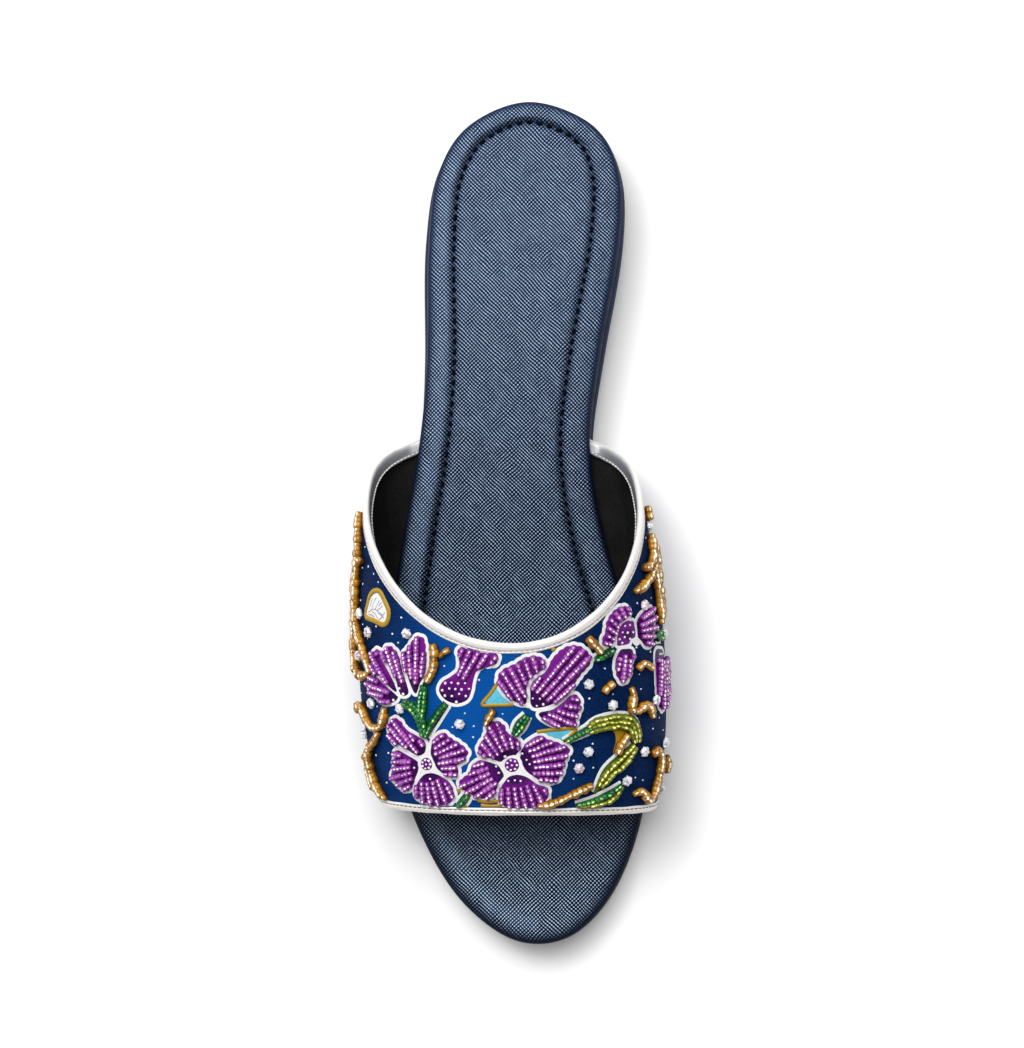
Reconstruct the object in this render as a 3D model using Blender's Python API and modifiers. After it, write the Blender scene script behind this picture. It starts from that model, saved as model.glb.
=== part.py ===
"""Open-toed beaded slide for the right foot.

Six pieces: outsole, covered wedge, padded insole, vamp and the two bindings folded over its edges.
Frame in metres: +X towards the medial side of the foot, +Y towards the heel, +Z up, floor at Z = 0.
A station is a distance measured forwards from the back of the heel.
"""

import math
from collections import namedtuple

import bmesh
import bpy
from mathutils import Vector

# Overall sizes
SOLE_LENGTH = 0.250
HEEL_Y = SOLE_LENGTH / 2
FIT_GAP = 0.0003
LATERAL = -1
MEDIAL = 1

# Plan outline of the footbed, a row for each section from heel to toe
OutlineRow = namedtuple("OutlineRow", "station lateral medial")
OUTLINE = [
    OutlineRow(0.0000, 0.0052, 0.0052),
    OutlineRow(0.0068, -0.0125, 0.0237),
    OutlineRow(0.0210, -0.0217, 0.0315),
    OutlineRow(0.0420, -0.0245, 0.0314),
    OutlineRow(0.0750, -0.0251, 0.0257),
    OutlineRow(0.1016, -0.0277, 0.0230),
    OutlineRow(0.1280, -0.0325, 0.0269),
    OutlineRow(0.1580, -0.0374, 0.0359),
    OutlineRow(0.1760, -0.0385, 0.0397),
    OutlineRow(0.1950, -0.0356, 0.0404),
    OutlineRow(0.2170, -0.0279, 0.0368),
    OutlineRow(0.2350, -0.0174, 0.0294),
    OutlineRow(0.2465, -0.0045, 0.0190),
    OutlineRow(0.2500, 0.0073, 0.0073),
]
STEPS_PER_ROW = 4

# Side profile of the sole
HEEL_FLAT_END = 0.058
BALL_FLAT_START = 0.152
BALL_FLAT_END = 0.188
ARCH_RISE = 0.0016
TOE_SPRING = 0.0065
OUTSOLE_THICKNESS = 0.0030
HEEL_LIFT = 0.0147
LIFT_START = 0.045
LIFT_END = 0.178

# Outsole edge
OUTSOLE_REVEAL = 0.0004
OUTSOLE_EDGE_ROUND = 0.0007

# Covered wedge under heel and waist
WEDGE_END = 0.155
WEDGE_FLARE = {LATERAL: 0.0020, MEDIAL: 0.0021}
FLARE_END = {LATERAL: 0.105, MEDIAL: 0.125}
WEDGE_TOP_INSET = 0.0004
WEDGE_WAIST_SHARE = 0.55

# Padded insole, seen as rings from the middle of its underside round its rolled edge to its top
INSOLE_THICKNESS = 0.0070
INSOLE_CORE_INSET = 0.0115
INSOLE_RIM_INSET = 0.0092
INSOLE_TOP_INSET = 0.0080
ROLL_RADIUS = 0.0025
RIM_LIFT_START = 0.098
RIM_LIFT_END = 0.208
RIM_LIFT_RUN = 0.009

# Vamp: lasted sections from the waist to the toes
SectionRow = namedtuple("SectionRow", "station lateral medial bulge_height crest_height")
VAMP_SECTIONS = [
    SectionRow(0.100, -0.0405, 0.0350, 0.0300, 0.0720),
    SectionRow(0.125, -0.0439, 0.0402, 0.0275, 0.0680),
    SectionRow(0.150, -0.0452, 0.0442, 0.0255, 0.0625),
    SectionRow(0.175, -0.0446, 0.0458, 0.0235, 0.0555),
    SectionRow(0.200, -0.0407, 0.0443, 0.0214, 0.0474),
    SectionRow(0.225, -0.0342, 0.0393, 0.0198, 0.0390),
]
WALL = 0.0016
CREST_X = 0.0010
ARCH_FULLNESS = 2.2
MARGIN_WIDTH = 0.0080
MARGIN_CLEAR = 0.0012
MARGIN_STEPS = 2
LOWER_STEPS = 8
UPPER_STEPS = 15
LENGTH_STEPS = 14

# Edge lines of the vamp: stations where the line leaves the sole, passes the bulge and crosses the crest,
# its slopes for a turn of the section, and how far its medial half runs ahead of its lateral half
EdgeLine = namedtuple("EdgeLine", "base bulge crest base_slope slope_below slope_above skew")
THROAT_LINE = EdgeLine(0.1002, 0.1130, 0.1604, 0.0090, 0.0240, 0.0590, 0.0)
FRONT_LINE = EdgeLine(0.2050, 0.2075, 0.2092, 0.0030, 0.0020, 0.0040, 0.0007)

# Bindings: a strip folded over each edge
BINDING_THICKNESS = 0.0005
BINDING_WIDTH = 0.0024
BINDING_FOLD_ROUND = 0.0005
THROAT_BINDING_START = {LATERAL: 1.10, MEDIAL: 1.10}
TOE_BINDING_START = {LATERAL: 1.38, MEDIAL: 1.54}
BINDING_STEPS = 22
TURN_NUDGE = 0.004
STATION_NUDGE = 0.001


def clear_scene():
    """Remove whatever the start file holds."""
    for item in list(bpy.data.objects):
        bpy.data.objects.remove(item, do_unlink=True)


def clamp(value):
    return min(max(value, 0.0), 1.0)


def ease(share):
    """Smooth step from 0 to 1."""
    share = clamp(share)
    return share * share * (3 - 2 * share)


def cubic(start, end, slope_start, slope_end, share):
    """Cubic through start and end with given slopes there."""
    cube = share ** 3
    square = share ** 2
    return ((2 * cube - 3 * square + 1) * start + (cube - 2 * square + share) * slope_start
            + (3 * square - 2 * cube) * end + (cube - square) * slope_end)


def through_rows(before, start, end, after, share):
    """Cubic from start to end whose slopes follow the neighbouring rows."""
    return cubic(start, end, (end - before) / 2, (after - start) / 2, share)


def trace_outline():
    """Footbed outline as smooth rows; the ends are rounded by running on into the other side."""
    first = OUTLINE[1]
    last = OUTLINE[-2]
    rows = [OutlineRow(first.station, first.medial, first.lateral), *OUTLINE,
            OutlineRow(last.station, last.medial, last.lateral)]
    smooth = []
    for index in range(1, len(rows) - 2):
        for step in range(STEPS_PER_ROW):
            share = step / STEPS_PER_ROW
            columns = zip(rows[index - 1], rows[index], rows[index + 1], rows[index + 2])
            smooth.append(OutlineRow(*[through_rows(*column, share) for column in columns]))
    smooth.append(OUTLINE[-1])
    return smooth


OUTLINE_ROWS = trace_outline()


def outline_edge(station, side):
    """X of the footbed's edge at a station."""
    for row, after in zip(OUTLINE_ROWS, OUTLINE_ROWS[1:]):
        if row.station <= station <= after.station:
            share = (station - row.station) / (after.station - row.station)
            start = row.lateral if side == LATERAL else row.medial
            end = after.lateral if side == LATERAL else after.medial
            return start + share * (end - start)
    return OUTLINE_ROWS[-1].lateral


def tread_height(station):
    """Underside of the outsole: flat at heel and ball, arched between, sprung at the toe."""
    if station > BALL_FLAT_END:
        return TOE_SPRING * ((station - BALL_FLAT_END) / (SOLE_LENGTH - BALL_FLAT_END)) ** 2
    share = clamp((station - HEEL_FLAT_END) / (BALL_FLAT_START - HEEL_FLAT_END))
    return ARCH_RISE * math.sin(math.pi * share) ** 2


def seat_height(station):
    """Underside of the footbed: raised by the wedge at the heel, down on the outsole at the ball."""
    drop = ease((station - LIFT_START) / (LIFT_END - LIFT_START))
    lift = HEEL_LIFT + (FIT_GAP - HEEL_LIFT) * drop
    return tread_height(station) + OUTSOLE_THICKNESS + lift


def rim_lift(station):
    """Room left under the footbed's rim for the vamp's turned-in margin."""
    rise = ease((station - RIM_LIFT_START + RIM_LIFT_RUN) / RIM_LIFT_RUN)
    fall = ease((station - RIM_LIFT_END) / RIM_LIFT_RUN)
    return (WALL + FIT_GAP) * (rise - fall)


def wedge_flare(station, side):
    """How far the wedge's foot stands out past the footbed."""
    return WEDGE_FLARE[side] * math.sin(math.pi * clamp(station / FLARE_END[side]))


def plan_ring(rows, outset, height):
    """Closed ring of points round the outline, anticlockwise from the heel, moved out and set at a height."""
    lateral = [(row.lateral, row.station, LATERAL) for row in rows]
    medial = [(row.medial, row.station, MEDIAL) for row in reversed(rows[1:])]
    if lateral[-1][:2] == medial[0][:2]:
        medial = medial[1:]
    marks = lateral + medial
    ring = []
    for index, (x, station, side) in enumerate(marks):
        before = marks[index - 1]
        after = marks[(index + 1) % len(marks)]
        along = Vector((after[0] - before[0], before[1] - after[1]))
        out = Vector((along.y, -along.x)).normalized() * outset(station, side)
        ring.append(Vector((x + out.x, HEEL_Y - station + out.y, height(station))))
    return ring


def ladder(count):
    """Faces that close a ring of points by rungs from one side to the other."""
    faces = []
    for index in range((count - 1) // 2 + (count % 2 == 0)):
        rung = [index, index + 1, count - index - 1, (count - index) % count]
        faces.append(list(dict.fromkeys(rung)))
    return [face for face in faces if len(face) > 2]


def u_ladder(count):
    """Faces that close a folded strip's end, pairing its outer points with its inner ones."""
    return [[index, index + 1, count - index - 2, count - index - 1] for index in range(count // 2 - 1)]


def loft(name, rings, cap):
    """Solid skin through rings of equal count, closed at both ends by the cap's faces."""
    mesh = bpy.data.meshes.new(name)
    skin = bmesh.new()
    loops = [[skin.verts.new(point) for point in ring] for ring in rings]
    count = len(rings[0])
    for low, high in zip(loops, loops[1:]):
        for index in range(count):
            following = (index + 1) % count
            skin.faces.new((low[index], low[following], high[following], high[index]))
    for face in cap:
        skin.faces.new([loops[-1][index] for index in face])
        skin.faces.new([loops[0][index] for index in reversed(face)])
    bmesh.ops.recalc_face_normals(skin, faces=skin.faces)
    skin.to_mesh(mesh)
    skin.free()
    return bpy.data.objects.new(name, mesh)


def constant(value):
    """Outset that is the same all round."""
    return lambda station, side: value


def above_tread(rise):
    return lambda station: tread_height(station) + rise


def above_seat(rise):
    return lambda station: seat_height(station) + rise


def above_rim(rise):
    return lambda station: seat_height(station) + rim_lift(station) + rise


def make_outsole():
    """Rubber sheet with slightly rounded edges."""
    edge = OUTSOLE_REVEAL
    pulled_in = edge - OUTSOLE_EDGE_ROUND
    foot_out = lambda station, side: max(edge, wedge_flare(station, side))
    foot_in = lambda station, side: foot_out(station, side) - OUTSOLE_EDGE_ROUND
    rings = [
        plan_ring(OUTLINE_ROWS, foot_in, above_tread(0.0)),
        plan_ring(OUTLINE_ROWS, foot_out, above_tread(OUTSOLE_EDGE_ROUND)),
        plan_ring(OUTLINE_ROWS, foot_out, above_tread(OUTSOLE_THICKNESS - OUTSOLE_EDGE_ROUND)),
        plan_ring(OUTLINE_ROWS, foot_in, above_tread(OUTSOLE_THICKNESS)),
        plan_ring(OUTLINE_ROWS, constant(pulled_in - INSOLE_RIM_INSET), above_tread(OUTSOLE_THICKNESS)),
    ]
    return loft("outsole", rings, ladder(len(rings[0])))


def make_wedge():
    """Low wedge whose sides lean out towards the floor; it ends in a straight feather under the ball."""
    rows = [row for row in OUTLINE_ROWS if row.station < WEDGE_END]
    rows.append(OutlineRow(WEDGE_END, outline_edge(WEDGE_END, LATERAL), outline_edge(WEDGE_END, MEDIAL)))
    foot = wedge_flare
    waist = lambda station, side: wedge_flare(station, side) * WEDGE_WAIST_SHARE - WEDGE_TOP_INSET / 2
    top = constant(-WEDGE_TOP_INSET)
    floor = above_tread(OUTSOLE_THICKNESS + FIT_GAP)
    ceiling = above_seat(-FIT_GAP)
    middle = lambda station: (floor(station) + ceiling(station)) / 2
    rings = [
        plan_ring(rows, foot, floor),
        plan_ring(rows, waist, middle),
        plan_ring(rows, top, ceiling),
    ]
    return loft("covered_wedge", rings, ladder(len(rings[0])))


def make_insole():
    """Padded footbed: a core on the wedge, a rim lifted where the vamp passes under, a rolled edge."""
    half = math.sqrt(0.5)
    top = INSOLE_THICKNESS
    rings = [
        plan_ring(OUTLINE_ROWS, constant(-INSOLE_CORE_INSET), above_seat(0.0)),
        plan_ring(OUTLINE_ROWS, constant(-INSOLE_RIM_INSET), above_rim(0.0)),
        plan_ring(OUTLINE_ROWS, constant(-ROLL_RADIUS), above_rim(0.0)),
        plan_ring(OUTLINE_ROWS, constant(-ROLL_RADIUS * (1 - half)), above_rim(ROLL_RADIUS * (1 - half))),
        plan_ring(OUTLINE_ROWS, constant(0.0), above_rim(ROLL_RADIUS)),
        plan_ring(OUTLINE_ROWS, constant(0.0), above_seat(top - ROLL_RADIUS)),
        plan_ring(OUTLINE_ROWS, constant(-ROLL_RADIUS * (1 - half)), above_seat(top - ROLL_RADIUS * (1 - half))),
        plan_ring(OUTLINE_ROWS, constant(-ROLL_RADIUS), above_seat(top)),
        plan_ring(OUTLINE_ROWS, constant(-INSOLE_TOP_INSET), above_seat(top)),
    ]
    return loft("insole", rings, ladder(len(rings[0])))


def vamp_row(station):
    """Section of the last at a station, read smoothly from the table."""
    rows = VAMP_SECTIONS
    index = 0
    while index < len(rows) - 2 and station > rows[index + 1].station:
        index += 1
    start = rows[index]
    end = rows[index + 1]
    share = (station - start.station) / (end.station - start.station)
    before = rows[max(index - 1, 0)]
    after = rows[min(index + 2, len(rows) - 1)]
    return SectionRow(*[through_rows(*column, share) for column in zip(before, start, end, after)])


def vamp_point(side, turn, station):
    """Outer face of the vamp.

    Turn runs up one side: 0 to 1 along the margin under the footbed, 1 to 2 out to the bulge,
    2 to 3 over to the crest.
    """
    row = vamp_row(station)
    edge = outline_edge(station, side)
    leaves_sole = edge - side * MARGIN_CLEAR
    bulge = row.lateral if side == LATERAL else row.medial
    seat = seat_height(station)
    y = HEEL_Y - station
    if turn <= 1:
        return Vector((leaves_sole - side * MARGIN_WIDTH * (1 - turn), y, seat))
    if turn <= 2:
        angle = (turn - 1) * math.pi / 2
        x = leaves_sole + (bulge - leaves_sole) * math.sin(angle)
        return Vector((x, y, seat + (row.bulge_height - seat) * (1 - math.cos(angle))))
    angle = (turn - 2) * math.pi / 2
    power = 2 / ARCH_FULLNESS
    x = CREST_X + (bulge - CREST_X) * max(math.cos(angle), 0.0) ** power
    z = row.bulge_height + (row.crest_height - row.bulge_height) * max(math.sin(angle), 0.0) ** power
    return Vector((x, y, z))


def edge_station(line, side, turn):
    """Station of an edge line where it passes a turn of the section."""
    ahead = line.skew * side * ease(3 - turn)
    if turn <= 1:
        return line.base + ahead
    if turn <= 2:
        return ahead + cubic(line.base, line.bulge, line.base_slope, line.slope_below, turn - 1)
    return ahead + cubic(line.bulge, line.crest, line.slope_above, 0.0, turn - 2)


def section_turns():
    """Places round a whole section: up the lateral side, over the crest and down the medial side."""
    turns = [step / MARGIN_STEPS for step in range(MARGIN_STEPS)]
    turns += [1 + step / LOWER_STEPS for step in range(LOWER_STEPS)]
    turns += [2 + step / UPPER_STEPS for step in range(UPPER_STEPS)]
    up = [(LATERAL, turn) for turn in turns]
    down = [(MEDIAL, turn) for turn in reversed(turns)]
    return up + [(LATERAL, 3.0)] + down


def make_upper():
    """Vamp as an open lasted sheet given its wall by a Solidify modifier."""
    mesh = bpy.data.meshes.new("upper")
    sheet = bmesh.new()
    columns = []
    for side, turn in section_turns():
        front = edge_station(FRONT_LINE, side, turn)
        throat = edge_station(THROAT_LINE, side, turn)
        stations = [front + (throat - front) * step / LENGTH_STEPS for step in range(LENGTH_STEPS + 1)]
        columns.append([sheet.verts.new(vamp_point(side, turn, station)) for station in stations])
    for left, right in zip(columns, columns[1:]):
        for step in range(LENGTH_STEPS):
            sheet.faces.new((left[step], right[step], right[step + 1], left[step + 1]))
    sheet.to_mesh(mesh)
    sheet.free()
    upper = bpy.data.objects.new("upper", mesh)
    wall = upper.modifiers.new("wall", "SOLIDIFY")
    wall.thickness = WALL
    wall.offset = -1
    wall.use_even_offset = True
    return upper


def edge_frame(line, side, turn, away):
    """Point on an edge line, outward normal of the vamp there, and the direction off the edge."""
    station = edge_station(line, side, turn)
    place = vamp_point(side, turn, station)
    low = max(turn - TURN_NUDGE, 1.0)
    high = min(turn + TURN_NUDGE, 3.0)
    around = vamp_point(side, high, station) - vamp_point(side, low, station)
    forward = (vamp_point(side, turn, station + STATION_NUDGE)
               - vamp_point(side, turn, station - STATION_NUDGE))
    normal = around.cross(forward).normalized() * side
    run = (vamp_point(side, high, edge_station(line, side, high))
           - vamp_point(side, low, edge_station(line, side, low)))
    off = run.cross(normal).normalized()
    if off.dot(forward) * away < 0:
        off = -off
    return place, normal, off


def fold_profile():
    """Folded strip as (off the edge, out from the vamp's outer face) points, outer path then inner path."""
    near = FIT_GAP
    far = FIT_GAP + BINDING_THICKNESS
    bottom = -WALL
    cut = BINDING_FOLD_ROUND
    outer = [(-BINDING_WIDTH, far), (far - cut, far), (far, far - cut),
             (far, bottom - far + cut), (far - cut, bottom - far), (-BINDING_WIDTH, bottom - far)]
    inner = [(-BINDING_WIDTH, bottom - near), (near - cut / 2, bottom - near), (near, bottom - near + cut / 2),
             (near, near - cut / 2), (near - cut / 2, near), (-BINDING_WIDTH, near)]
    return outer + inner


def make_binding(name, line, start, away):
    """Sweep the folded strip along an edge line from one side of the sole over the crest to the other."""
    shares = [step / BINDING_STEPS for step in range(BINDING_STEPS)]
    up = [(LATERAL, start[LATERAL] + (3 - start[LATERAL]) * share) for share in shares]
    down = [(MEDIAL, start[MEDIAL] + (3 - start[MEDIAL]) * share) for share in reversed(shares)]
    path = up + [(LATERAL, 3.0)] + down
    profile = fold_profile()
    rings = []
    for side, turn in path:
        place, normal, off = edge_frame(line, side, turn, away)
        rings.append([place + off * out + normal * up for out, up in profile])
    return loft(name, rings, u_ladder(len(profile)))


def paint(item, name, colour, roughness, metallic=0.0):
    """Give a piece its own Principled material."""
    material = bpy.data.materials.new(name)
    material.use_nodes = True
    shader = material.node_tree.nodes["Principled BSDF"]
    shader.inputs["Base Color"].default_value = (*colour, 1.0)
    shader.inputs["Roughness"].default_value = roughness
    shader.inputs["Metallic"].default_value = metallic
    item.data.materials.append(material)


def main():
    """Build every piece into one collection."""
    clear_scene()
    shoe = bpy.data.collections.new("beaded_slide")
    bpy.context.scene.collection.children.link(shoe)
    pieces = [
        (make_outsole(), "dark_rubber", (0.030, 0.020, 0.015), 0.6, 0.0),
        (make_wedge(), "navy_cover", (0.030, 0.048, 0.090), 0.45, 0.0),
        (make_insole(), "navy_footbed", (0.070, 0.100, 0.160), 0.45, 0.0),
        (make_upper(), "blue_cloth", (0.010, 0.060, 0.240), 0.7, 0.0),
        (make_binding("throat_binding", THROAT_LINE, THROAT_BINDING_START, -1), "silver_throat",
         (0.75, 0.72, 0.70), 0.35, 0.6),
        (make_binding("toe_binding", FRONT_LINE, TOE_BINDING_START, 1), "silver_toe",
         (0.75, 0.72, 0.70), 0.35, 0.6),
    ]
    for item, name, colour, roughness, metallic in pieces:
        shoe.objects.link(item)
        paint(item, name, colour, roughness, metallic)


main()
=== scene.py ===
"""Beaded open-toed slide for the right foot: its visible pieces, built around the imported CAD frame.

Lengths are metres. A station is a distance forward from the back of the heel, so y is HEEL_Y - station.
Medial is +X, the heel is towards +Y and up is +Z. The embroidery is charted in millimetres on the lasted
vamp: across is the distance round the vamp from its crest, medial positive, and the second number is the
station.
"""

import math
from collections import namedtuple

import bmesh
import bpy
import numpy as np
from bpy.props import FloatProperty, FloatVectorProperty, PointerProperty
from bpy.types import Operator, Panel, PropertyGroup
from mathutils import Matrix, Vector


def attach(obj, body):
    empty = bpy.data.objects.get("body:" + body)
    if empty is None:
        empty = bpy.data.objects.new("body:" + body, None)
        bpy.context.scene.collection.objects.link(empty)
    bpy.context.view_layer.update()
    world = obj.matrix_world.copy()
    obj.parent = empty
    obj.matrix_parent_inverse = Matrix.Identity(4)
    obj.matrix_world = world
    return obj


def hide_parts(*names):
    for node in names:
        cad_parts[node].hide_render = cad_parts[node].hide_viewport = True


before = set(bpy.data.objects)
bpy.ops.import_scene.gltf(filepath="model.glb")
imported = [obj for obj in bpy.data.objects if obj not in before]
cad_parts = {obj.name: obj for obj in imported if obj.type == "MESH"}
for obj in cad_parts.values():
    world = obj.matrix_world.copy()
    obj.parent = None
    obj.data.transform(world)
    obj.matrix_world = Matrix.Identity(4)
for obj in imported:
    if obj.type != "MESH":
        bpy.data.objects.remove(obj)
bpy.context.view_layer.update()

bl_info = {
    "name": "Beaded slide",
    "version": (1, 0, 0),
    "blender": (4, 5, 0),
    "location": "View3D > Sidebar > Slide",
    "description": "Builds the visible pieces of a beaded open-toed slide",
    "category": "Object",
}

BODY = "root"
MM = 0.001
WELD = 0.00002
SEED = 11

# Sides of the right shoe
LATERAL = -1
MEDIAL = 1

# Sole outline: station, lateral edge, medial edge
OUTLINE = (
    (0.0000, 0.0052, 0.0052),
    (0.0068, -0.0125, 0.0237),
    (0.0210, -0.0217, 0.0315),
    (0.0420, -0.0245, 0.0314),
    (0.0750, -0.0251, 0.0257),
    (0.1016, -0.0277, 0.0230),
    (0.1280, -0.0325, 0.0269),
    (0.1580, -0.0374, 0.0359),
    (0.1760, -0.0385, 0.0397),
    (0.1950, -0.0356, 0.0404),
    (0.2170, -0.0279, 0.0368),
    (0.2350, -0.0174, 0.0294),
    (0.2465, -0.0045, 0.0190),
    (0.2500, 0.0073, 0.0073),
)
STEPS_PER_ROW = 14
SOLE_LENGTH = 0.250
HEEL_Y = SOLE_LENGTH / 2

# Heights along the sole
HEEL_FLAT_END = 0.058
BALL_FLAT_START = 0.152
BALL_FLAT_END = 0.188
ARCH_RISE = 0.0016
TOE_SPRING = 0.0065
OUTSOLE_THICKNESS = 0.0030
HEEL_LIFT = 0.0147
LIFT_START = 0.045
LIFT_END = 0.178
FIT_GAP = 0.0003

# Wedge and footbed, and the gap that keeps neighbouring skins apart
WEDGE_END = 0.176
WEDGE_FLARE = {LATERAL: 0.0020, MEDIAL: 0.0021}
FLARE_END = {LATERAL: 0.105, MEDIAL: 0.125}
INSOLE_THICKNESS = 0.0070
SKIN_GAP = 0.0001
RIM_LIFT_START = 0.0992
RIM_LIFT_END = 0.208
RIM_LIFT_RUN = 0.0045

# Lasted vamp sections, 25 mm apart: station, lateral bulge, medial bulge, bulge height, crest height
VAMP_SECTIONS = (
    (0.100, -0.0405, 0.0350, 0.0300, 0.0720),
    (0.125, -0.0439, 0.0402, 0.0275, 0.0680),
    (0.150, -0.0452, 0.0442, 0.0255, 0.0625),
    (0.175, -0.0446, 0.0458, 0.0235, 0.0555),
    (0.200, -0.0407, 0.0443, 0.0214, 0.0474),
    (0.225, -0.0342, 0.0393, 0.0198, 0.0390),
)
SECTION_START = 0.100
SECTION_STEP = 0.025
WALL = 0.0016
CREST_X = 0.0010
ARCH_FULLNESS = 2.2
MARGIN_WIDTH = 0.0080
MARGIN_CLEAR = 0.0012

# Edges of the vamp: stations at base, bulge and crest, slopes there, and how far the medial side leads
EdgeLine = namedtuple("EdgeLine", "base bulge crest base_slope slope_below slope_above skew")
THROAT_LINE = EdgeLine(0.1002, 0.1130, 0.1604, 0.0090, 0.0240, 0.0590, 0.0)
FRONT_LINE = EdgeLine(0.2050, 0.2075, 0.2092, 0.0030, 0.0020, 0.0040, 0.0007)

# Binding strips, folded over the edges
BINDING_INNER_WIDTH = 0.0028
BINDING_THICKNESS = 0.00035
BINDING_FOLD = 0.0010
BINDING_SWELL = 0.0011
CLOTH_WALL = 0.0011
BINDING_POINTS = 150

# Quilting line: station, its inset from the lateral and from the medial edge
QUILTING = (
    (0.000, 0.0062, 0.0062),
    (0.012, 0.0068, 0.0072),
    (0.030, 0.0072, 0.0080),
    (0.060, 0.0078, 0.0082),
    (0.090, 0.0084, 0.0084),
    (0.120, 0.0088, 0.0090),
    (0.150, 0.0094, 0.0096),
    (0.250, 0.0096, 0.0096),
)
QUILTING_END = 0.182
QUILTING_FADE = 0.010
GROOVE_DEPTH = 0.0021
GROOVE_WIDTH = 0.0012
BALL_PINCH = 0.7
BALL_PINCH_START = 0.080
BALL_PINCH_RUN = 0.060

# Camera, from the photograph's own view
CAMERA_PLACE = (0.0486, -0.0015, 1.400)
CAMERA_AIM = (0.0, 0.0, 0.020)
FRAME_HEIGHT_SEEN = 0.3111
FRAME_DEPTH = 1.383
SENSOR_HEIGHT = 24.0


def ease(share):
    """Go from 0 to 1 with level ends."""
    share = np.clip(share, 0.0, 1.0)
    return share * share * (3.0 - 2.0 * share)


def cubic(start, end, slope_start, slope_end, share):
    """Read a smooth curve between two values with the given slopes."""
    square = share**2
    cube = share**3
    from_start = (2 * cube - 3 * square + 1) * start + (cube - 2 * square + share) * slope_start
    to_end = (3 * square - 2 * cube) * end + (cube - square) * slope_end
    return from_start + to_end


def through_rows(table, place):
    """Read every column of an evenly spaced table smoothly; place counts rows."""
    table = np.array(table)
    last = len(table) - 1
    row = np.clip(np.floor(place).astype(int), 0, last - 1)
    share = (place - row)[..., None]
    start = table[row]
    end = table[row + 1]
    before = table[np.maximum(row - 1, 0)]
    after = table[np.minimum(row + 2, last)]
    return cubic(start, end, (end - before) / 2, (after - start) / 2, share)


def trace_outline():
    """Give the sole outline as stations with their lateral and medial edges, round at both ends."""
    first = OUTLINE[1]
    last = OUTLINE[-2]
    rows = [(first[0], first[2], first[1]), *OUTLINE, (last[0], last[2], last[1])]
    gaps = len(OUTLINE) - 1
    place = 1.0 + np.arange(gaps * STEPS_PER_ROW + 1) / STEPS_PER_ROW
    return through_rows(rows, place)


OUTLINE_ROWS = trace_outline()


def outline_edge(station, side):
    """Give the sole's edge at a station on one side."""
    column = 1 if side == LATERAL else 2
    return np.interp(station, OUTLINE_ROWS[:, 0], OUTLINE_ROWS[:, column])


def tread_height(station):
    """Give the height of the outsole's underside."""
    toe = TOE_SPRING * np.clip((station - BALL_FLAT_END) / (SOLE_LENGTH - BALL_FLAT_END), 0, 1) ** 2
    waist = np.clip((station - HEEL_FLAT_END) / (BALL_FLAT_START - HEEL_FLAT_END), 0, 1)
    return toe + ARCH_RISE * np.sin(np.pi * waist) ** 2


def seat_height(station):
    """Give the height of the footbed's underside."""
    share = ease((station - LIFT_START) / (LIFT_END - LIFT_START))
    return tread_height(station) + OUTSOLE_THICKNESS + HEEL_LIFT + (FIT_GAP - HEEL_LIFT) * share


def rim_lift(station):
    """Give how far the footbed's rim rises over the vamp's turned-in margin."""
    rise = ease((station - RIM_LIFT_START + RIM_LIFT_RUN) / RIM_LIFT_RUN)
    fall = ease((station - RIM_LIFT_END) / RIM_LIFT_RUN)
    return (WALL + FIT_GAP) * (rise - fall)


def wedge_flare(station, side):
    """Give how far the wedge's wall stands out from the outline."""
    return WEDGE_FLARE[side] * np.sin(np.pi * np.clip(station / FLARE_END[side], 0, 1))


def vamp_point(side, turn, station):
    """Give a point on the vamp's outside: turn 1 at the sole, 2 at the bulge, 3 at the crest."""
    row = through_rows(VAMP_SECTIONS, (station - SECTION_START) / SECTION_STEP)
    bulge = row[..., 1 if side == LATERAL else 2]
    bulge_height = row[..., 3]
    crest_height = row[..., 4]
    leaves_sole = outline_edge(station, side) - side * MARGIN_CLEAR
    seat = seat_height(station)
    low = np.clip(turn - 1, 0, 1) * np.pi / 2
    high = np.clip(turn - 2, 0, 1) * np.pi / 2
    power = 2 / ARCH_FULLNESS
    margin_x = leaves_sole - side * MARGIN_WIDTH * (1 - turn)
    low_x = leaves_sole + (bulge - leaves_sole) * np.sin(low)
    low_z = seat + (bulge_height - seat) * (1 - np.cos(low))
    high_x = CREST_X + (bulge - CREST_X) * np.clip(np.cos(high), 0, 1) ** power
    high_z = bulge_height + (crest_height - bulge_height) * np.clip(np.sin(high), 0, 1) ** power
    x = np.where(turn <= 1, margin_x, np.where(turn <= 2, low_x, high_x))
    z = np.where(turn <= 1, seat, np.where(turn <= 2, low_z, high_z))
    return np.stack([x, HEEL_Y - station, z], -1)


def edge_station(line, side, turn):
    """Give the station of one of the vamp's edges."""
    ahead = line.skew * side * ease(3 - turn)
    low = cubic(line.base, line.bulge, line.base_slope, line.slope_below, np.clip(turn - 1, 0, 1))
    high = cubic(line.bulge, line.crest, line.slope_above, 0.0, np.clip(turn - 2, 0, 1))
    return ahead + np.where(turn <= 2, low, high)


def unit(vectors):
    """Make each vector one long."""
    return vectors / np.maximum(np.linalg.norm(vectors, axis=-1, keepdims=True), 1e-12)


def run_length(points):
    """Give how far along a line each of its points lies."""
    steps = np.linalg.norm(np.diff(points, axis=0), axis=1)
    return np.concatenate([[0.0], np.cumsum(steps)])


def crossed_turns(count, start):
    """Give sides and turns from the lateral sole over the crest to the medial sole, evenly round the arch."""
    share = np.linspace(-1.0, 1.0, count)
    side = np.where(share < 0, LATERAL, MEDIAL)
    turn = 3.0 - (3.0 - start) * np.abs(share)
    return side, turn


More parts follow.
